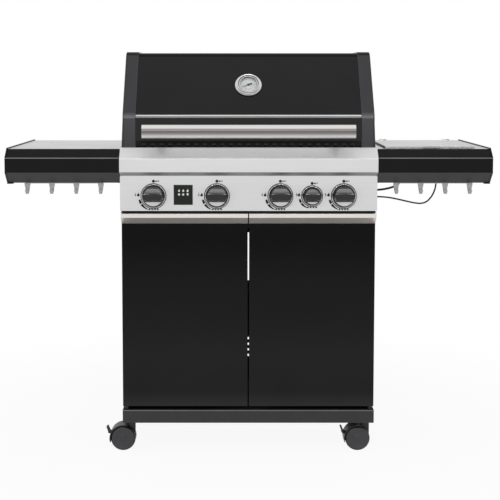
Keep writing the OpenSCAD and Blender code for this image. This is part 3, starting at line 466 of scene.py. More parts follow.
def build_materials():
    """Every material by its short name; the painted light and shade by tilt and the dimmed
    reflections by tilt are (up, grey) rows, the painted reflection of the floor (height, grey).
    """
    m = {}
    # a painted highlight along the lid's front fold, and painted shade in the reflections over the
    # slope's top bend
    m["enamel"] = gloss("gloss_enamel", (0.74, 0.74, 0.745), (0.84, 0.84, 0.845), (0.1, 0.16), 0.30,
                        painted_light_tilt=((0.0, 0.007), (0.26, 0.006), (0.31, 1.0), (0.34, 1.0), (0.39, 0.006)),
                        painted_reflection_dim=((0.62, 1.0), (0.68, 0.3), (0.98, 0.3)))
    # lighter towards the bottom: a painted reflection of the floor
    m["door"] = gloss("door_enamel", (0.060, 0.060, 0.060), (0.067, 0.067, 0.067), (0.2, 0.28),
                      0.108,
                      painted_floor_reflection=((0.116, 0.82), (0.138, 0.4), (0.18, 0.17), (0.29, 0.19), (0.38, 0.12),
                            (0.49, 0.08), (0.6, 0.0)))
    m["satin"] = powder("satin_black", (0.008, 0.008, 0.0085), (0.011, 0.011, 0.0115), (0.24, 0.3),
                        level=0.2)
    # faces that look up are darker and barely reflect: painted shade in the gap above the base
    m["base"] = powder("base_grey", (0.032, 0.032, 0.0325), (0.038, 0.038, 0.0385), (0.36, 0.44),
                       level=0.25, painted_light_tilt=((0.9, 1.0), (0.96, 0.3)), painted_reflection_dim=((0.9, 1.0), (0.97, 0.02)))
    # a light grey for the beads on the folded edges: a painted highlight
    m["edge"] = powder("painted_edge_highlight", (0.15, 0.15, 0.15), (0.19, 0.19, 0.19), (0.3, 0.4), level=0.3)
    # lighter where it looks down: a painted reflection of the floor
    m["fascia"] = powder("fascia_black", (0.055, 0.055, 0.0555), (0.062, 0.062, 0.0625),
                         (0.3, 0.36), level=0.1,
                         painted_light_tilt=((-0.7, 1.0), (-0.35, 0.12), (0.06, 0.1), (0.62, 0.13)))
    # darker on the undersides and where it looks nearly straight up: painted shade
    m["steel"] = steel("brushed_steel", (0.66, 0.66, 0.665), (0.76, 0.76, 0.76),
                       painted_light_tilt=((-0.7, 0.5), (-0.3, 0.95), (0.45, 1.0), (0.7, 1.0), (0.92, 0.76)))
    # darker on the upright face and the undersides, lighter on the slant: painted light and shade
    m["panel"] = steel("panel_steel", (0.90, 0.90, 0.905), (0.97, 0.97, 0.97), (0.40, 0.48),
                       painted_light_tilt=((-0.7, 0.4), (-0.3, 0.65), (0.06, 0.65), (0.2, 1.0), (0.7, 1.0),
                             (0.92, 0.7)))
    # light on faces that look up or down and dark in between: painted reflections of the lamps and
    # the floor
    m["bronze"] = steel("handle_steel", (0.90, 0.87, 0.84), (0.98, 0.95, 0.92), (0.26, 0.34),
                        painted_light_tilt=((-0.80, 0.06), (-0.68, 0.6), (-0.5, 0.62), (-0.25, 0.27), (0.0, 0.17),
                              (0.18, 0.08), (0.32, 0.08), (0.5, 0.86), (0.7, 1.0)))
    m["hook"] = steel("hook_steel", (0.30, 0.29, 0.28), (0.42, 0.41, 0.40), (0.3, 0.4),
                      metallic=0.6)
    # a darker copy of the steel for faces that look to the front: painted shade
    m["lip"] = steel("lip_steel", (0.42, 0.42, 0.425), (0.54, 0.54, 0.545), (0.34, 0.42))
    # a touch darker except where it looks down: painted shade
    m["strip"] = steel("strip_steel", (0.74, 0.69, 0.65), (0.90, 0.84, 0.79), (0.3, 0.38),
                       metallic=0.7, painted_light_tilt=((-0.2, 1.0), (-0.05, 0.94)))
    # dark and light bands by tilt over the grip and the scoops: painted reflections
    m["knob"] = steel("knob_chrome", (0.62, 0.62, 0.63), (0.70, 0.70, 0.71), (0.20, 0.26), **PLATED,
                      painted_light_tilt=((-0.85, 0.07), (-0.72, 0.8), (-0.14, 0.95), (-0.08, 0.06), (0.06, 0.06),
                            (0.1, 0.3), (0.16, 0.02), (0.34, 0.02), (0.42, 0.36), (0.8, 0.4)))
    # near-black chrome for the bezel seats and the thermometer's groove: painted shade
    m["groove"] = steel("painted_shade_chrome", (0.020, 0.020, 0.020), (0.035, 0.035, 0.035), (0.15, 0.25),
                        **PLATED)
    m["tray"] = steel("tray_steel", (0.42, 0.42, 0.41), (0.55, 0.55, 0.54), (0.34, 0.5), depth=0.1)
    m["wire"] = steel("rack_wire", (0.5, 0.5, 0.49), (0.66, 0.66, 0.65), (0.2, 0.35), brush=0.0)
    m["chrome"] = steel("polished_chrome", (0.72, 0.72, 0.73), (0.78, 0.78, 0.79), (0.06, 0.1),
                        **PLATED)
    # darker where it looks down or straight up: painted shade
    m["satin_chrome"] = steel("satin_chrome", (0.84, 0.84, 0.85), (0.92, 0.92, 0.93), (0.3, 0.36),
                              (300, 300, 6), 0.0, 0.01,
                              painted_light_tilt=((-0.2, 0.35), (0.3, 1.0), (0.8, 1.0), (0.97, 0.6)))
    # a painted highlight over the caps' fold and painted shade over their tops
    m["cast"] = powder("cast_caps", (0.12, 0.1175, 0.135), (0.155, 0.150, 0.170), (0.3, 0.38),
                       700, 0.15,
                       painted_light_tilt=((0.08, 0.2), (0.24, 0.42), (0.40, 0.42), (0.54, 0.2), (0.66, 0.2),
                             (0.76, 0.06)),
                       painted_reflection_dim=((0.66, 1.0), (0.76, 0.3)))
    m["skirt"] = powder("cap_skirt", (0.014, 0.014, 0.016), (0.020, 0.020, 0.022), (0.45, 0.55),
                        700, 0.2)
    m["iron"] = powder("cast_iron", (0.012, 0.011, 0.011), (0.030, 0.027, 0.025), (0.55, 0.75),
                       260, 0.5)
    m["burner"] = steel("burner_steel", (0.42, 0.39, 0.35), (0.6, 0.58, 0.55), (0.3, 0.5),
                        brush=0.0)
    m["brass"] = steel("tap_brass", (0.60, 0.42, 0.16), (0.72, 0.52, 0.22), (0.25, 0.4),
                       (60, 60, 60), 0.0)
    m["rubber"] = powder("cord_rubber", (0.012, 0.012, 0.012), (0.022, 0.022, 0.022), (0.5, 0.65),
                         1200, 0.2)
    m["wheel"] = powder("wheel_plastic", (0.036, 0.035, 0.040), (0.046, 0.045, 0.050), (0.36, 0.44),
                        800, 0.1)
    m["tread"] = powder("wheel_tread", (0.014, 0.014, 0.014), (0.022, 0.022, 0.022), (0.5, 0.6),
                        800, 0.15)
    m["fork"] = powder("caster_housing", (0.020, 0.020, 0.021), (0.028, 0.028, 0.029), (0.36, 0.46))
    m["plate"] = steel("caster_steel", (0.16, 0.16, 0.16), (0.24, 0.24, 0.24), (0.35, 0.5),
                       brush=0.0)
    m["dial"] = powder("dial_face", (0.84, 0.84, 0.83), (0.89, 0.89, 0.88), (0.5, 0.6), 1200, 0.03)
    m["amber"] = powder("dial_zone", (0.50, 0.48, 0.45), (0.58, 0.56, 0.53), (0.5, 0.6), 1200, 0.03)
    m["print"] = powder("printed_marks", (0.006, 0.006, 0.006), (0.010, 0.010, 0.010), (0.4, 0.5),
                        level=0.1)
    m["pale"] = powder("pale_marks", (0.62, 0.63, 0.60), (0.70, 0.71, 0.68), (0.4, 0.5))
    m["screen"] = gloss("dark_screen", (0.012, 0.014, 0.012), (0.018, 0.021, 0.018), (0.16, 0.24),
                        0.15)
    glass = Paint("clear_glass", Base_Color=(0.95, 0.97, 0.97, 1), IOR=1.45,
                  Transmission_Weight=1.0)
    glass.feed(glass.ramp(glass.noise(30, 3), 0.02, 0.05), "Roughness")
    m["glass"] = glass.mat
    return m


M = build_materials()


# ---------------------------------------------------------------- cords

def curve_through(points, steps):
    """Points on a smooth curve through all the given ones, with the steps between each two."""
    pts = [Vector(p) for p in points]
    out = []
    for i in range(len(pts) - 1):
        a, b, c, d = pts[max(i - 1, 0)], pts[i], pts[i + 1], pts[min(i + 2, len(pts) - 1)]
        for k in range(steps):
            u = k / steps
            out.append(b + 0.5 * ((c - a) * u + (2 * a - 5 * b + 4 * c - d) * u * u
                                  + (3 * b - a - 3 * c + d) * u ** 3))
    return out + [pts[-1]]


CORD_Y = -0.070                        # the cords' routes and lengths are in metres
LEAD_D, HOSE_D = 4.5, 6.0              # diameters in millimetres
CORD_STEPS = 4                         # points of a cord's curve for each point of its route
LEAD_XZ = ((0.361, 0.718), (0.380, 0.718), (0.405, 0.716), (0.432, 0.711), (0.458, 0.705),
           (0.482, 0.700), (0.500, 0.699), (0.515, 0.704), (0.527, 0.716), (0.536, 0.732),
           (0.541, 0.752), (0.541, 0.776))
HOSE_XZ = ((0.361, 0.738), (0.374, 0.738), (0.392, 0.740), (0.410, 0.744), (0.426, 0.750),
           (0.437, 0.759), (0.442, 0.768), (0.442, 0.776))


def make_cord(node, route, diameter):
    """A round cord along its route, from the side panel to the underside of a bowl."""
    curve = bpy.data.curves.new(node, "CURVE")
    curve.dimensions = "3D"
    curve.bevel_depth = diameter / 2
    curve.bevel_resolution = 5
    curve.use_fill_caps = True
    pts = curve_through([(x, CORD_Y, z) for x, z in route], CORD_STEPS)
    spline = curve.splines.new("POLY")
    spline.points.add(len(pts) - 1)
    for point, p in zip(spline.points, pts):
        point.co = (*p, 1)
    spline.use_smooth = True
    obj = give(link(node + "_look", curve), M["rubber"], "cart", node, slot="cord_rubber")


make_cord("ignition_lead", LEAD_XZ, LEAD_D * MM)
make_cord("burner_hose", HOSE_XZ, HOSE_D * MM)


def make_glands():
    """Ribbed, tapered strain reliefs where the cords leave the side panel and enter the bowl."""
    bm = bmesh.new()
    for route, d in ((LEAD_XZ, LEAD_D), (HOSE_XZ, HOSE_D)):
        r = d / 2
        x, z = HALF, route[0][1] / MM
        reach = route[0][0] / MM - x
        profile = [(r + 0.1, -3), (r + 2, -3), (r + 2, 0), (r + 3.4, 0.2), (r + 3.5, reach / 2),
                   (r + 2.0, reach / 2 + 0.2), (r + 1.4, reach * 0.7), (r + 1.7, reach * 0.75),
                   (r + 1.1, reach * 0.9), (r + 0.9, reach - 0.4), (r + 0.1, reach - 0.4)]
        matrix = Matrix.Translation((x, CORD_Y / MM, z)) @ Matrix.Rotation(math.pi / 2, 4, "Y")
        lathe(bm, profile, 28, matrix, closed=True)
        x, z = route[-1][0] / MM, route[-1][1] / MM
        top = node_box("grommets")[1].z
        tall = top - z - 0.4
        profile = [(r + 0.1, 0), (r + 1.2, 0), (r + 1.6, tall * 0.3), (r + 1.3, tall * 0.34),
                   (r + 2.0, tall * 0.6), (r + 1.7, tall * 0.64), (r + 2.5, tall), (r + 0.1, tall)]
        lathe(bm, profile, 28, Matrix.Translation((x, CORD_Y / MM, z + 0.4)), closed=True)
    give(dress(bm, "grommets_look"), M["rubber"], "cart", "grommets", slot="cord_rubber")


make_glands()


# ---------------------------------------------------------------- lid

FOLD_R, BEND_R, CROWN_R = 26, 30, 70   # radii at the front fold, the slope's top and the rear
SHEET_END = 0.35                       # width of the row of faces at each end of the sheet


def lid_profile(fold_radius=FOLD_R):
    """The lid sheet's outer line, from its lower front edge over the top to its lower rear edge."""
    foot, bend, back = Vector((LID_Y, LID_Z)), LID_FOLD + SLOPE_DIR * SLOPE, LID[1].y
    c = bend - BEND_R * SLOPE_OUT
    return ([foot] + rounded_corner(foot, LID_FOLD, bend, fold_radius)
            + arc(c.x, c.y, BEND_R, 180 - math.degrees(LID_TILT), 90, 12)
            + arc(back - 112, LID[1].z - CROWN_R, CROWN_R, 90, 38, 14)
            + [Vector((back - 16, LID_Z + 123)), Vector((back, LID_Z + 21))])


def make_lid_sheet():
    """The folded sheet between the two end caps."""
    bm = bmesh.new()
    outer = lid_profile()
    extrude_x(bm, outer + offset_path(outer, -LID_SHEET)[::-1],
              [-LID_HALF, SHEET_END - LID_HALF, LID_HALF - SHEET_END, LID_HALF])
    give(dress(bm, "lid_sheet", 24), M["enamel"], "lid", "lid_shell", slot="enamel")


def make_vents():
    """A dark plate along the sheet's lower edge, painted shade for a row of vent slots, with a web
    between each two.
    """
    face = Matrix.Translation((0, LID_Y, LID_Z)) @ UPRIGHT
    reach, pitch, web = LID_HALF - 1, 24.0, 11.0
    slot_t, web_t = 0.25, 0.4
    bm = bmesh.new()
    # the dark plate: painted shade standing for the slots' openings
    plate(bm, bar(-reach, 0.6, reach, 13.5), slot_t, face)
    give(dress(bm, "lid_vent_slot_shade"), M["print"], "lid", slot="dark_screen")
    bm = bmesh.new()
    count = int(reach / pitch)
    for k in range(-count, count + 1):
        plate(bm, bar(k * pitch - web / 2, 2.0, k * pitch + web / 2, 6.0), web_t, face)
    give(dress(bm, "lid_vent_webs"), M["enamel"], "lid", slot="enamel")


def both_sides(bm):
    """Adds the mirror image across X."""
    old = bm.verts[:] + bm.edges[:] + bm.faces[:]
    made = bmesh.ops.duplicate(bm, geom=old)["geom"]
    verts = [v for v in made if isinstance(v, bmesh.types.BMVert)]
    bmesh.ops.scale(bm, vec=(-1, 1, 1), verts=verts)


def box_at(bm, low, high):
    """A plain block between two opposite corners."""
    size = Vector(high) - Vector(low)
    mid = (Vector(high) + Vector(low)) / 2
    matrix = Matrix.Translation(mid) @ Matrix.Diagonal((*size, 1))
    bmesh.ops.create_cube(bm, size=1, matrix=matrix)


CAP_LOW = CAPS[0].z
CAP_OUT = CAPS[1].x - 4.4              # the end wall's outside, within the skirt's flare
CAP_WALL = CAP_OUT - 4                 # its inside
HINGE_R = 12                           # the hinge lug's radius


def make_lid_caps():
    """Cast end caps: a proud rim round the sheet's end, an end wall, a hinge lug and a foot."""
    proud = offset_path(lid_profile(FOLD_R + 2), 3)
    room = offset_path(lid_profile(FOLD_R - 2), -4)
    rear = LID[1].y
    toe, heel = Vector((LID_Y - 3, CAP_LOW)), Vector((rear, CAP_LOW + 22))
    bm = bmesh.new()
    rim = ([toe] + proud[1:-1] + [heel, Vector((rear - 5.8, CAP_LOW + 16.7))]
           + room[1:-1][::-1] + [Vector((LID_Y + 4, CAP_LOW))])
    ringed(bm, rim, [(LID_HALF, 0.8), (LID_HALF + 0.8, 0), (CAP_WALL + 1, 0)])
    end = [toe] + proud[1:-1] + [heel, Vector((rear - 24, CAP_LOW))]
    ringed(bm, end, [(CAP_WALL, 0), (CAP_OUT - 3.4, 0), (CAP_OUT - 1.6, 0.5), (CAP_OUT - 0.5, 1.6),
                     (CAP_OUT, 3.4)])
    hinge, up = Vector((CAPS[1].y - HINGE_R, LID_Z + 7)), Vector((0, 34))
    back = hinge - Vector((HINGE_R, 0))
    lug = [back + up, back] + arc(*hinge, HINGE_R, 180, 360, 20) + [hinge + up]
    ringed(bm, lug, [(LID_HALF + 2.4, 0.6), (LID_HALF + 3, 0), (LID_HALF + 14.4, 0),
                     (LID_HALF + 15, 0.6)])
    box_at(bm, (CAP_WALL - 3, LID_Y + 30, node_box("firebox")[1].z - 4.7),
           (CAP_OUT, LID_Y + 50, CAP_LOW + 2))
    both_sides(bm)
    caps = give(dress(bm, "lid_caps", 30), M["cast"], "lid", "lid_end_caps", slot="cast_caps")
    caps.data.materials.append(M["skirt"])
    for face in caps.data.polygons:
        if abs(face.normal.x) > 0.3 and abs(face.center.x) > (CAP_OUT - 3.5) * MM:
            face.material_index = 1


def make_cap_skirts():
    """Dark flared skirts that step out at the foot of each cap."""
    bm = bmesh.new()
    front, back, high = LID_Y + 10, LID[1].y - 40, CAP_LOW + 84
    top_x, low_x = CAP_OUT + 0.9, CAPS[1].x
    rings = []
    for z, x, draw in ((CAP_LOW, low_x - 0.4, 0), (CAP_LOW + 1.5, low_x, 0),
                       (CAP_LOW + 7, low_x - 0.3, 0), (high - 2, top_x, 0), (high, top_x - 1.2, 2)):
        rings.append([bm.verts.new(v) for v in (
            (CAP_WALL + 1, front + draw, z), (x - 2, front + draw, z), (x, front + 2.5 + draw, z),
            (x, back - 2.5 - draw, z), (x - 2, back - draw, z), (CAP_WALL + 1, back - draw, z))])
    loft(bm, rings)
    both_sides(bm)
    give(dress(bm, "lid_cap_skirts", 30), M["skirt"], "lid", "lid_end_caps", slot="cast_caps")


def make_handle():
    """The lid handle: a bowed strip on two posts with their flanges."""
    give(softened("lid_handle", 0.7, 3), M["bronze"], "lid", "lid_handle", slot="chromed")


make_lid_sheet()
make_lid_caps()
make_cap_skirts()
make_handle()
make_vents()


# ---------------------------------------------------------------- pieces in the CAD's own shape

BODY = {node: body for body, nodes in frame["record"]["behaviour"]["bodies"].items()
        for node in nodes}
TO_FRONT = -0.6                        # a face looks to the front when its normal's Y is below this


def keep_shape(nodes, material, width, segments=2, *, slot, axis=0, front=None):
    """Each node's own shape in a material; where a front material is given, faces that look to the
    front take it, as painted shade.
    """
    for node in nodes.split():
        shape = softened(node, width, segments, axis)
        piece = give(shape, M[material], BODY[node], node, slot=slot)
        if front:
            piece.data.materials.append(M[front])
            for face in piece.data.polygons:
                face.material_index = int(face.normal.y < TO_FRONT)


keep_shape("side_panel_left side_panel_right back_panel front_crossbar firebox side_burner",
           "satin", 0.4, slot="satin_black")
keep_shape("base_pan", "base", 1.0, 3, slot="satin_black")
keep_shape("table_left_fascia table_right_fascia", "fascia", 1.5, 3, slot="satin_black")
keep_shape("table_left_top table_right_top", "steel", 0.7, slot="stainless")
# the side burner lid's front faces in the darker steel: painted shade
keep_shape("side_burner_lid", "steel", 0.7, slot="stainless", front="lip")
keep_shape("hook_rails", "hook", 0.5, slot="stainless")
keep_shape("control_panel", "panel", 1.6, 3, slot="stainless")
keep_shape("door_left door_right", "door", 0.6, 2, slot="satin_black")
keep_shape("door_handle_left door_handle_right", "strip", 0.8, slot="stainless")
keep_shape("flame_tamers burners grease_cup", "burner", 0.3, slot="stainless", axis=1)
keep_shape("grease_tray gas_manifold screws", "tray", 0.3, slot="steel_tray")
keep_shape("warming_rack", "wire", 0.2, slot="wire")
keep_shape("cooking_grates side_burner_grate", "iron", 0.9, slot="iron")
keep_shape("knob_1 knob_2 knob_3 knob_4 knob_5", "knob", 0.2, 1, slot="chromed")
keep_shape("tap_plug_1 tap_plug_2 tap_plug_3 tap_plug_4 tap_plug_5", "brass", 0.3,
           slot="brass_taps")
keep_shape("touch_panel", "screen", 0.5, slot="dark_screen")
keep_shape("thermometer_needle", "print", 0.1, slot="needle")
keep_shape("thermometer_glass", "glass", 0.2, slot="clear_glass")
keep_shape("caster_plates", "plate", 0.4, slot="caster_steel")
keep_shape("caster_fork_1 caster_fork_2 caster_fork_3 caster_fork_4", "fork", 0.8,
           slot="caster_plastic")
keep_shape("caster_brake_1 caster_brake_2", "fork", 0.5, slot="caster_plastic")


# ---------------------------------------------------------------- painted highlights along the folded sheets' edges

def front_edge(node):
    """The front plane of a node, and the height of that plane's upper edge."""
    source = frame["nodes"][node]
    points = [source.matrix_world @ v.co / MM for v in source.data.vertices]
    front = min(p.y for p in points)
    return front, max(p.z for p in points if p.y < front + 0.3)


def bead(bm, x0, x1, front, top, wide):
    """A very low half-round ridge along X, just below an edge."""
    extrude_x(bm, [(front + out, top - part * wide) for out, part in
                   ((0.3, 0), (-0.15, 0.15), (-0.25, 0.5), (-0.15, 0.85), (0.3, 1))], [x0, x1])


def make_edge_highlights():
    """Beads in a light grey along the base pan's and the tables' front edges: a painted highlight
    on their folds.
    """
    bm = bmesh.new()
    bead(bm, CART[0].x + 1, CART[1].x - 1, *front_edge("base_pan"), 3.2)
    bead(bm, HALF + 2, TABLE_OUT - 0.5, *front_edge("table_right_fascia"), 3.0)
    bead(bm, 0.5 - TABLE_OUT, -HALF - 2, *front_edge("table_left_fascia"), 3.0)
    give(dress(bm, "painted_edge_highlights"), M["edge"], "cart", slot="satin_black")


make_edge_highlights()


# ---------------------------------------------------------------- knobs' bezels, printed marks

KNOBS = [node_box(f"knob_{k}") for k in range(1, 6)]
KNOB_Z = (KNOBS[0][0].z + KNOBS[0][1].z) / 2
KNOB_AT = [((low.x + high.x) / 2, (high.x - low.x) / 2) for low, high in KNOBS]
SMALL_KNOB = 27                        # a small knob's radius is less than this
MARK_T = 0.12                          # thickness of a printed mark
TOUCH_PROUD = 2                        # how far the touch panel stands out of the face
# Distances of the marks from a knob's middle
LARGE = {"dot": 41, "flame": 42, "spark": 50, "arcs": 40, "bars": 36.5}
SMALL = {"dot": 35, "flame": 36, "spark": 42, "arcs": 35, "bars": 31}


def make_bezels():
    """Two bright rings on a dark seat round each knob; the seat's near-black is painted shade."""
    seats, rings = bmesh.new(), bmesh.new()
    for x, r in KNOB_AT:
        face = on_face(x, KNOB_Z)
        lathe(seats, [(9, 0), (r + 5.7, 0), (r + 6, 0.3), (r + 5.9, 1.9), (r + 1.7, 2.4),
                      (r + 1.5, 2), (9, 2)], 96, face, closed=True)
        for middle, wide, high in ((r + 3.15, 0.65, 4.0), (r + 1.95, 0.5, 5.0)):
            lathe(rings, [(middle + wide * a, high + b) for a, b in (
                (-1, -2.4), (-1, -0.7), (-0.6, -0.2), (0, 0), (0.6, -0.2), (1, -0.7), (1, -2.4))],
                  96, face, closed=True)
    give(dress(seats, "knob_bezel_seats", 40), M["groove"], "cart", "knob_bezels", slot="chromed")
    give(dress(rings, "knob_bezel_rings", 40), M["chrome"], "cart", "knob_bezels", slot="chromed")


# Outlines of the flame and the spark, about their middles
FLAME = ((0, -2.4), (1.5, -1.9), (1.9, -0.5), (1.2, 0.9), (0.5, 2.6), (-0.5, 1.1), (-1.1, 0.5),
         (-1.8, -0.8), (-1.3, -2.0))
SPARK = ((-0.3, -2.4), (0.9, 0.1), (0.1, 0.1), (0.5, 2.3), (-0.9, -0.4), (-0.1, -0.4))


def off_word(x, z):
    """The outlines of the word OFF, from its left edge."""
    out = [moved(band(1.0, 2.1, 0, 359.9, n=18), x + 1.6, z)]
    for k in (0, 1):
        left = x + 4.4 + 3.4 * k
        out += [bar(left, z - 2.0, left + 1.0, z + 2.0),
                bar(left + 1.0, z + 1.0, left + 2.9, z + 2.0),
                bar(left + 1.0, z - 0.5, left + 2.4, z + 0.5)]
    return out


def knob_marks(dot, flame, spark, arcs, bars):
    """Dot and OFF above, spark, flame and two tapered arcs at the left, four small bars below."""
    out = [disc(0, dot, 4.1)] + off_word(5.2, dot)
    out += [moved(FLAME, -flame, 4, 2.1), moved(SPARK, -spark, 4, 2.7)]
    out += [band(arcs - 2.4, arcs + 2.4, 194, 211, -0.5),
            band(arcs - 3.4, arcs + 3.4, 215, 247, 0.7)]
    pitch, half_w, half_h = 7.6, 2.3, 2.2
    out += [bar(k * pitch - half_w, -bars - half_h, k * pitch + half_w, -bars + half_h)
            for k in (-1.5, -0.5, 0.5, 1.5)]
    return out


def make_marks():
    """The printed marks round every knob, as one piece."""
    bm = bmesh.new()
    for x, r in KNOB_AT:
        for mark in knob_marks(**(SMALL if r < SMALL_KNOB else LARGE)):
            plate(bm, mark, MARK_T, on_face(x, KNOB_Z))
    give(dress(bm, "panel_marks"), M["print"], "cart", slot="dark_screen")


def make_touch_icons():
    """Two rows of three small icons on the touch panel."""
    bm = bmesh.new()
    mid_x, mid_z = (TOUCH[0].x + TOUCH[1].x) / 2, (TOUCH[0].z + TOUCH[1].z) / 2
    face = on_face(mid_x, mid_z, TOUCH_PROUD)
    drop = [(x, -z) for x, z in FLAME]
    for k, x in enumerate((-11.5, 0, 12)):
        plate(bm, moved(FLAME, x, 12, 1.5 + 0.1 * k), MARK_T, face)
        plate(bm, moved(drop, x, 1.0, 1.7) if k == 2 else disc(x, 1.2, 3.1), MARK_T, face)
    give(dress(bm, "touch_icons"), M["pale"], "cart", slot="dial")


make_bezels()
make_marks()
make_touch_icons()


# ---------------------------------------------------------------- thermometer

BEZEL = ((26.3, 2), (3, 2), (3, 0), (36.3, 0), (37, 0.7), (37, 5.6), (36.4, 6.2), (35.3, 6.4),
         (35.0, 7.0), (35.0, 8.6), (34.5, 9.2), (33.4, 9.5), (32.8, 9.3), (32.4, 9.9), (32.2, 11.4),
         (31.5, 12.4), (30.4, 13.0), (29.5, 12.8), (28.9, 12.2), (28.7, 10.0), (26.3, 9.8))
INNER_RING = ((24.6, 9.6), (26.9, 9.6), (26.9, 10.8), (26.3, 11.3), (25.2, 11.3), (24.6, 10.8))
PROBE = ((0, -62), (2.6, -62), (4, -60), (4, 0.5), (2, 0.5), (2, -6), (0, -6))
NUT = ((3.5, -7.5), (8.4, -7.5), (9, -6.9), (9, -2.1), (8.4, -1.5), (3.5, -1.5))
GROOVE = ((26.9, 10.0), (28.8, 10.0), (28.8, 10.6), (28.2, 10.9), (27.4, 10.8), (26.9, 10.4))
DIAL_FACE = ((1.6, 2.0), (25.8, 2.0), (26, 2.2), (26, 2.9), (25.8, 3.0), (1.6, 3.0))
DIAL_UP = 3                            # the dial's printed face above the lid's slope
TICKS, TICK_R = 30, 23.6               # spaces between the ticks, and their outer radius
ZONE_T, TICK_T = 0.08, 0.14            # thicknesses of the grey zone and of the ticks
SCALE_FROM, SCALE_TO = 205, -25        # the scale's ends, in degrees


def make_thermometer():
    """Stepped bezel round a pale dial with an arc of ticks; probe and nut behind the lid."""
    slope, dial = on_slope(), on_slope(DIAL_UP)
    bm = bmesh.new()
    lathe(bm, BEZEL, 96, slope, closed=True)
    lathe(bm, INNER_RING, 96, slope, closed=True)
    lathe(bm, PROBE, 32, slope)
    lathe(bm, NUT, 6, slope, closed=True)
    give(dress(bm, "thermometer_bezel", 34), M["satin_chrome"], "lid", "thermometer_case",
         slot="stainless")
    # the dark groove ring round the dial: painted shade
    bm = bmesh.new()
    lathe(bm, GROOVE, 96, slope, closed=True)
    give(dress(bm, "thermometer_groove"), M["groove"], "lid", slot="needle")
    bm = bmesh.new()
    lathe(bm, DIAL_FACE, 96, slope, closed=True)
    give(dress(bm, "thermometer_face"), M["dial"], "lid", "thermometer_dial", slot="dial")
    bm = bmesh.new()
    plate(bm, band(20.2, 22.4, 150, 30, n=40), ZONE_T, dial)
    give(dress(bm, "thermometer_zone"), M["amber"], "lid", slot="dial")
    # The ticks, each fifth one longer and wider, the line round them and three small bars below
    marks = []
    for k in range(TICKS + 1):
        a = SCALE_FROM + (SCALE_TO - SCALE_FROM) * k / TICKS
        deep, wide = (2.2, 0.5) if k % 5 else (4.2, 0.9)
        marks.append(band(TICK_R - deep, TICK_R, a - wide, a + wide, n=2))
    marks.append(band(24.3, 24.8, SCALE_FROM, SCALE_TO, n=60))
    marks += [bar(x - 1.4, z - 0.6, x + 1.4, z + 0.6)
              for x, z in ((-5.5, -13), (0, -14), (5.5, -13))]
    bm = bmesh.new()
    for mark in marks:
        plate(bm, mark, TICK_T, dial)
    give(dress(bm, "thermometer_ticks"), M["print"], "lid", slot="needle")


make_thermometer()


# ---------------------------------------------------------------- caster wheels

WHEEL_GAP = 7.0                        # half the gap between the two wheels of a caster
SPOKES, SPOKE_DEPTH = 16, 0.22         # faint waves in a wheel's disc; half their depth
SPOKES_FROM, SPOKES_END = 11, 8        # their start from the axle and their end from the rim


def make_wheels():
    """Twin wheels: a dark tread, a disc with faint spokes, a rim and a hub, on a common axle."""
    for k in range(1, 5):
        node = f"caster_wheel_{k}"
        low, high = node_box(node)
        mid = Matrix.Translation((low + high) / 2)
        r = (high.z - low.z) / 2
        outer, inner = (high.y - low.y) / 2, WHEEL_GAP
        tread, discs = bmesh.new(), bmesh.new()
        for turn in (math.pi / 2, -math.pi / 2):
            matrix = mid @ Matrix.Rotation(turn, 4, "X")
            lathe(tread, [(r - 6, inner), (r - 1, inner), (r, inner + 1), (r, outer - 6.5),
                          (r - 0.5, outer - 4.2), (r - 1.6, outer - 2.6), (r - 3.2, outer - 1.4),
                          (r - 6, outer - 1.6)], 72, matrix, closed=True)
            since = len(discs.verts)
            lathe(discs, [(0, outer - 1.6), (6.5, outer - 1.6), (7.2, outer - 1.0),
                          (9.4, outer - 1.0), (10.2, outer - 1.5), (12, outer - 1.0),
                          (r - 8.4, outer - 0.5),
                          (r - 7.2, outer - 0.05), (r - 5.4, outer - 0.1), (r - 3.4, outer - 1.2),
                          (r - 3.2, outer - 1.7), (r - 6, outer - 3), (0, inner)], 96)
            discs.verts.ensure_lookup_table()
            for v in discs.verts[since:]:
                x, y, z = v.co
                if SPOKES_FROM < math.hypot(x, y) < r - SPOKES_END and z > inner + 1:
                    v.co.z += SPOKE_DEPTH * math.cos(SPOKES * math.atan2(y, x)) - SPOKE_DEPTH
            place(discs, matrix, since)
        axle = inner + 0.5
        lathe(discs, [(0, -axle), (4, -axle), (4, axle), (0, axle)], 32, mid @ UPRIGHT)
        give(dress(tread, node + "_tread", 34), M["tread"], BODY[node], node, slot="wheel_plastic")
        give(dress(discs, node + "_disc", 34), M["wheel"], BODY[node], node, slot="wheel_plastic")


make_wheels()


# ---------------------------------------------------------------- floor, light and background

LIGHT = 0.52                           # strength of the plain light from all sides
DIM_FROM, DIM_TO = 0.5, 0.9            # reflections dim to half between these; 1 is overhead
FLOOR_SIDE = 9.0                       # half the floor's side, in metres
FLOOR_GLOW = 0.92                      # how much of the floor is white, where it is seen
FADE_FROM, FADE_TO = 0.75, 1.6         # distances from the middle where the floor fades, in metres


def maximum(tree, a, b):
    """The larger of two outputs."""
    node = tree.nodes.new("ShaderNodeMath")
    node.operation = "MAXIMUM"
    tree.links.new(a, node.inputs[0])
    tree.links.new(b, node.inputs[1])
    return node.outputs[0]


def mixed(tree, factor, a, b):
    """Shader a, and shader b where the factor is 1; the factor is a number or an output."""
    node = tree.nodes.new("ShaderNodeMixShader")
    if isinstance(factor, float):
        node.inputs[0].default_value = factor
    else:
        tree.links.new(factor, node.inputs[0])
    tree.links.new(a, node.inputs[1])
    tree.links.new(b, node.inputs[2])
    return node.outputs[0]


def seen_as(tree, plain, seen):
    """Camera, glossy and transmission rays get the seen shader instead of the plain one."""
    path = tree.nodes.new("ShaderNodeLightPath").outputs
    sharp = maximum(tree, path["Is Camera Ray"], path["Is Glossy Ray"])
    return mixed(tree, maximum(tree, sharp, path["Is Transmission Ray"]), plain, seen)


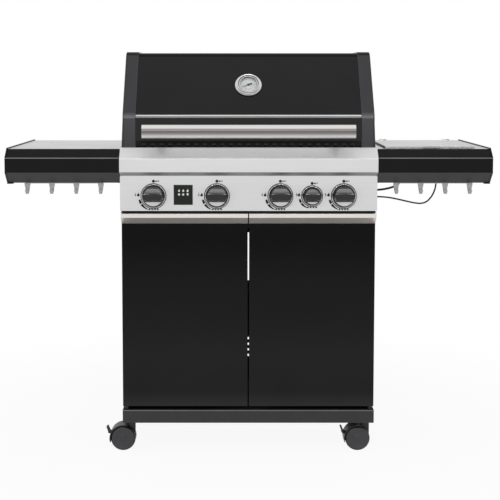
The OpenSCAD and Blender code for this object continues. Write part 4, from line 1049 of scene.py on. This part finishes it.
def make_world():
    """Plain light; seen directly it is white, and in reflections it dims a little overhead."""
    world = bpy.data.worlds.new("world")
    scene.world = world
    world.use_nodes = True
    tree = world.node_tree
    plain = tree.nodes["Background"]
    plain.inputs["Color"].default_value = (1, 1, 1, 1)
    plain.inputs["Strength"].default_value = LIGHT
    white = tree.nodes.new("ShaderNodeBackground")
    white.inputs["Color"].default_value = (1, 1, 1, 1)
    coords = tree.nodes.new("ShaderNodeTexCoord")
    split = tree.nodes.new("ShaderNodeSeparateXYZ")
    tree.links.new(coords.outputs["Generated"], split.inputs[0])
    height = tree.nodes.new("ShaderNodeMapRange")
    for key, value in zip(MAP_RANGE, (DIM_FROM, DIM_TO, 1.0, 0.5)):
        height.inputs[key].default_value = value
    tree.links.new(split.outputs["Z"], height.inputs["Value"])
    path = tree.nodes.new("ShaderNodeLightPath")
    strength = maximum(tree, height.outputs["Result"], path.outputs["Is Camera Ray"])
    tree.links.new(strength, white.inputs["Strength"])
    out = seen_as(tree, plain.outputs[0], white.outputs[0])
    tree.links.new(out, tree.nodes["World Output"].inputs["Surface"])


def make_floor():
    """A pale floor that keeps a soft shadow and fades into the white background."""
    mesh = bpy.data.meshes.new("floor")
    corners = [(x, y, 0) for x, y in bar(-FLOOR_SIDE, -FLOOR_SIDE, FLOOR_SIDE, FLOOR_SIDE)]
    mesh.from_pydata(corners, [], [(0, 1, 2, 3)])
    floor = link("floor", mesh)
    mat = bpy.data.materials.new("pale_floor")
    mat.use_nodes = True
    tree = mat.node_tree
    base = tree.nodes["Principled BSDF"]
    base.inputs["Base Color"].default_value = (0.92, 0.92, 0.92, 1)
    base.inputs["Roughness"].default_value = 0.9
    base.inputs["Specular IOR Level"].default_value = 0.1
    white = tree.nodes.new("ShaderNodeEmission")
    pale = mixed(tree, FLOOR_GLOW, base.outputs[0], white.outputs[0])
    shown = seen_as(tree, base.outputs[0], pale)
    coords = tree.nodes.new("ShaderNodeTexCoord")
    length = tree.nodes.new("ShaderNodeVectorMath")
    length.operation = "LENGTH"
    tree.links.new(coords.outputs["Object"], length.inputs[0])
    fade = tree.nodes.new("ShaderNodeMapRange")
    fade.interpolation_type = "SMOOTHSTEP"
    fade.inputs["From Min"].default_value = FADE_FROM
    fade.inputs["From Max"].default_value = FADE_TO
    tree.links.new(length.outputs["Value"], fade.inputs["Value"])
    clear = tree.nodes.new("ShaderNodeBsdfTransparent")
    out = mixed(tree, fade.outputs["Result"], shown, clear.outputs[0])
    tree.links.new(out, tree.nodes["Material Output"].inputs["Surface"])
    mesh.materials.append(mat)


def lamp(name, at, aim, size, power):
    """A rectangular lamp at a place, aimed at a point; metres and watts."""
    data = bpy.data.lights.new(name, "AREA")
    data.shape = "RECTANGLE"
    data.size, data.size_y = size
    data.energy = power
    obj = bpy.data.objects.new(name, data)
    scene.collection.objects.link(obj)
    obj.location = at
    obj.rotation_mode = "QUATERNION"
    obj.rotation_quaternion = (Vector(aim) - Vector(at)).to_track_quat("-Z", "Y")


make_world()
make_floor()
lamp("front_softbox", (0, -2.9, 2.15), (0, -0.2, 0.95), (2.4, 0.3), 36)
lamp("top_softbox", (0, -0.6, 3.4), (0, -0.1, 0.6), (4.0, 3.2), 12)
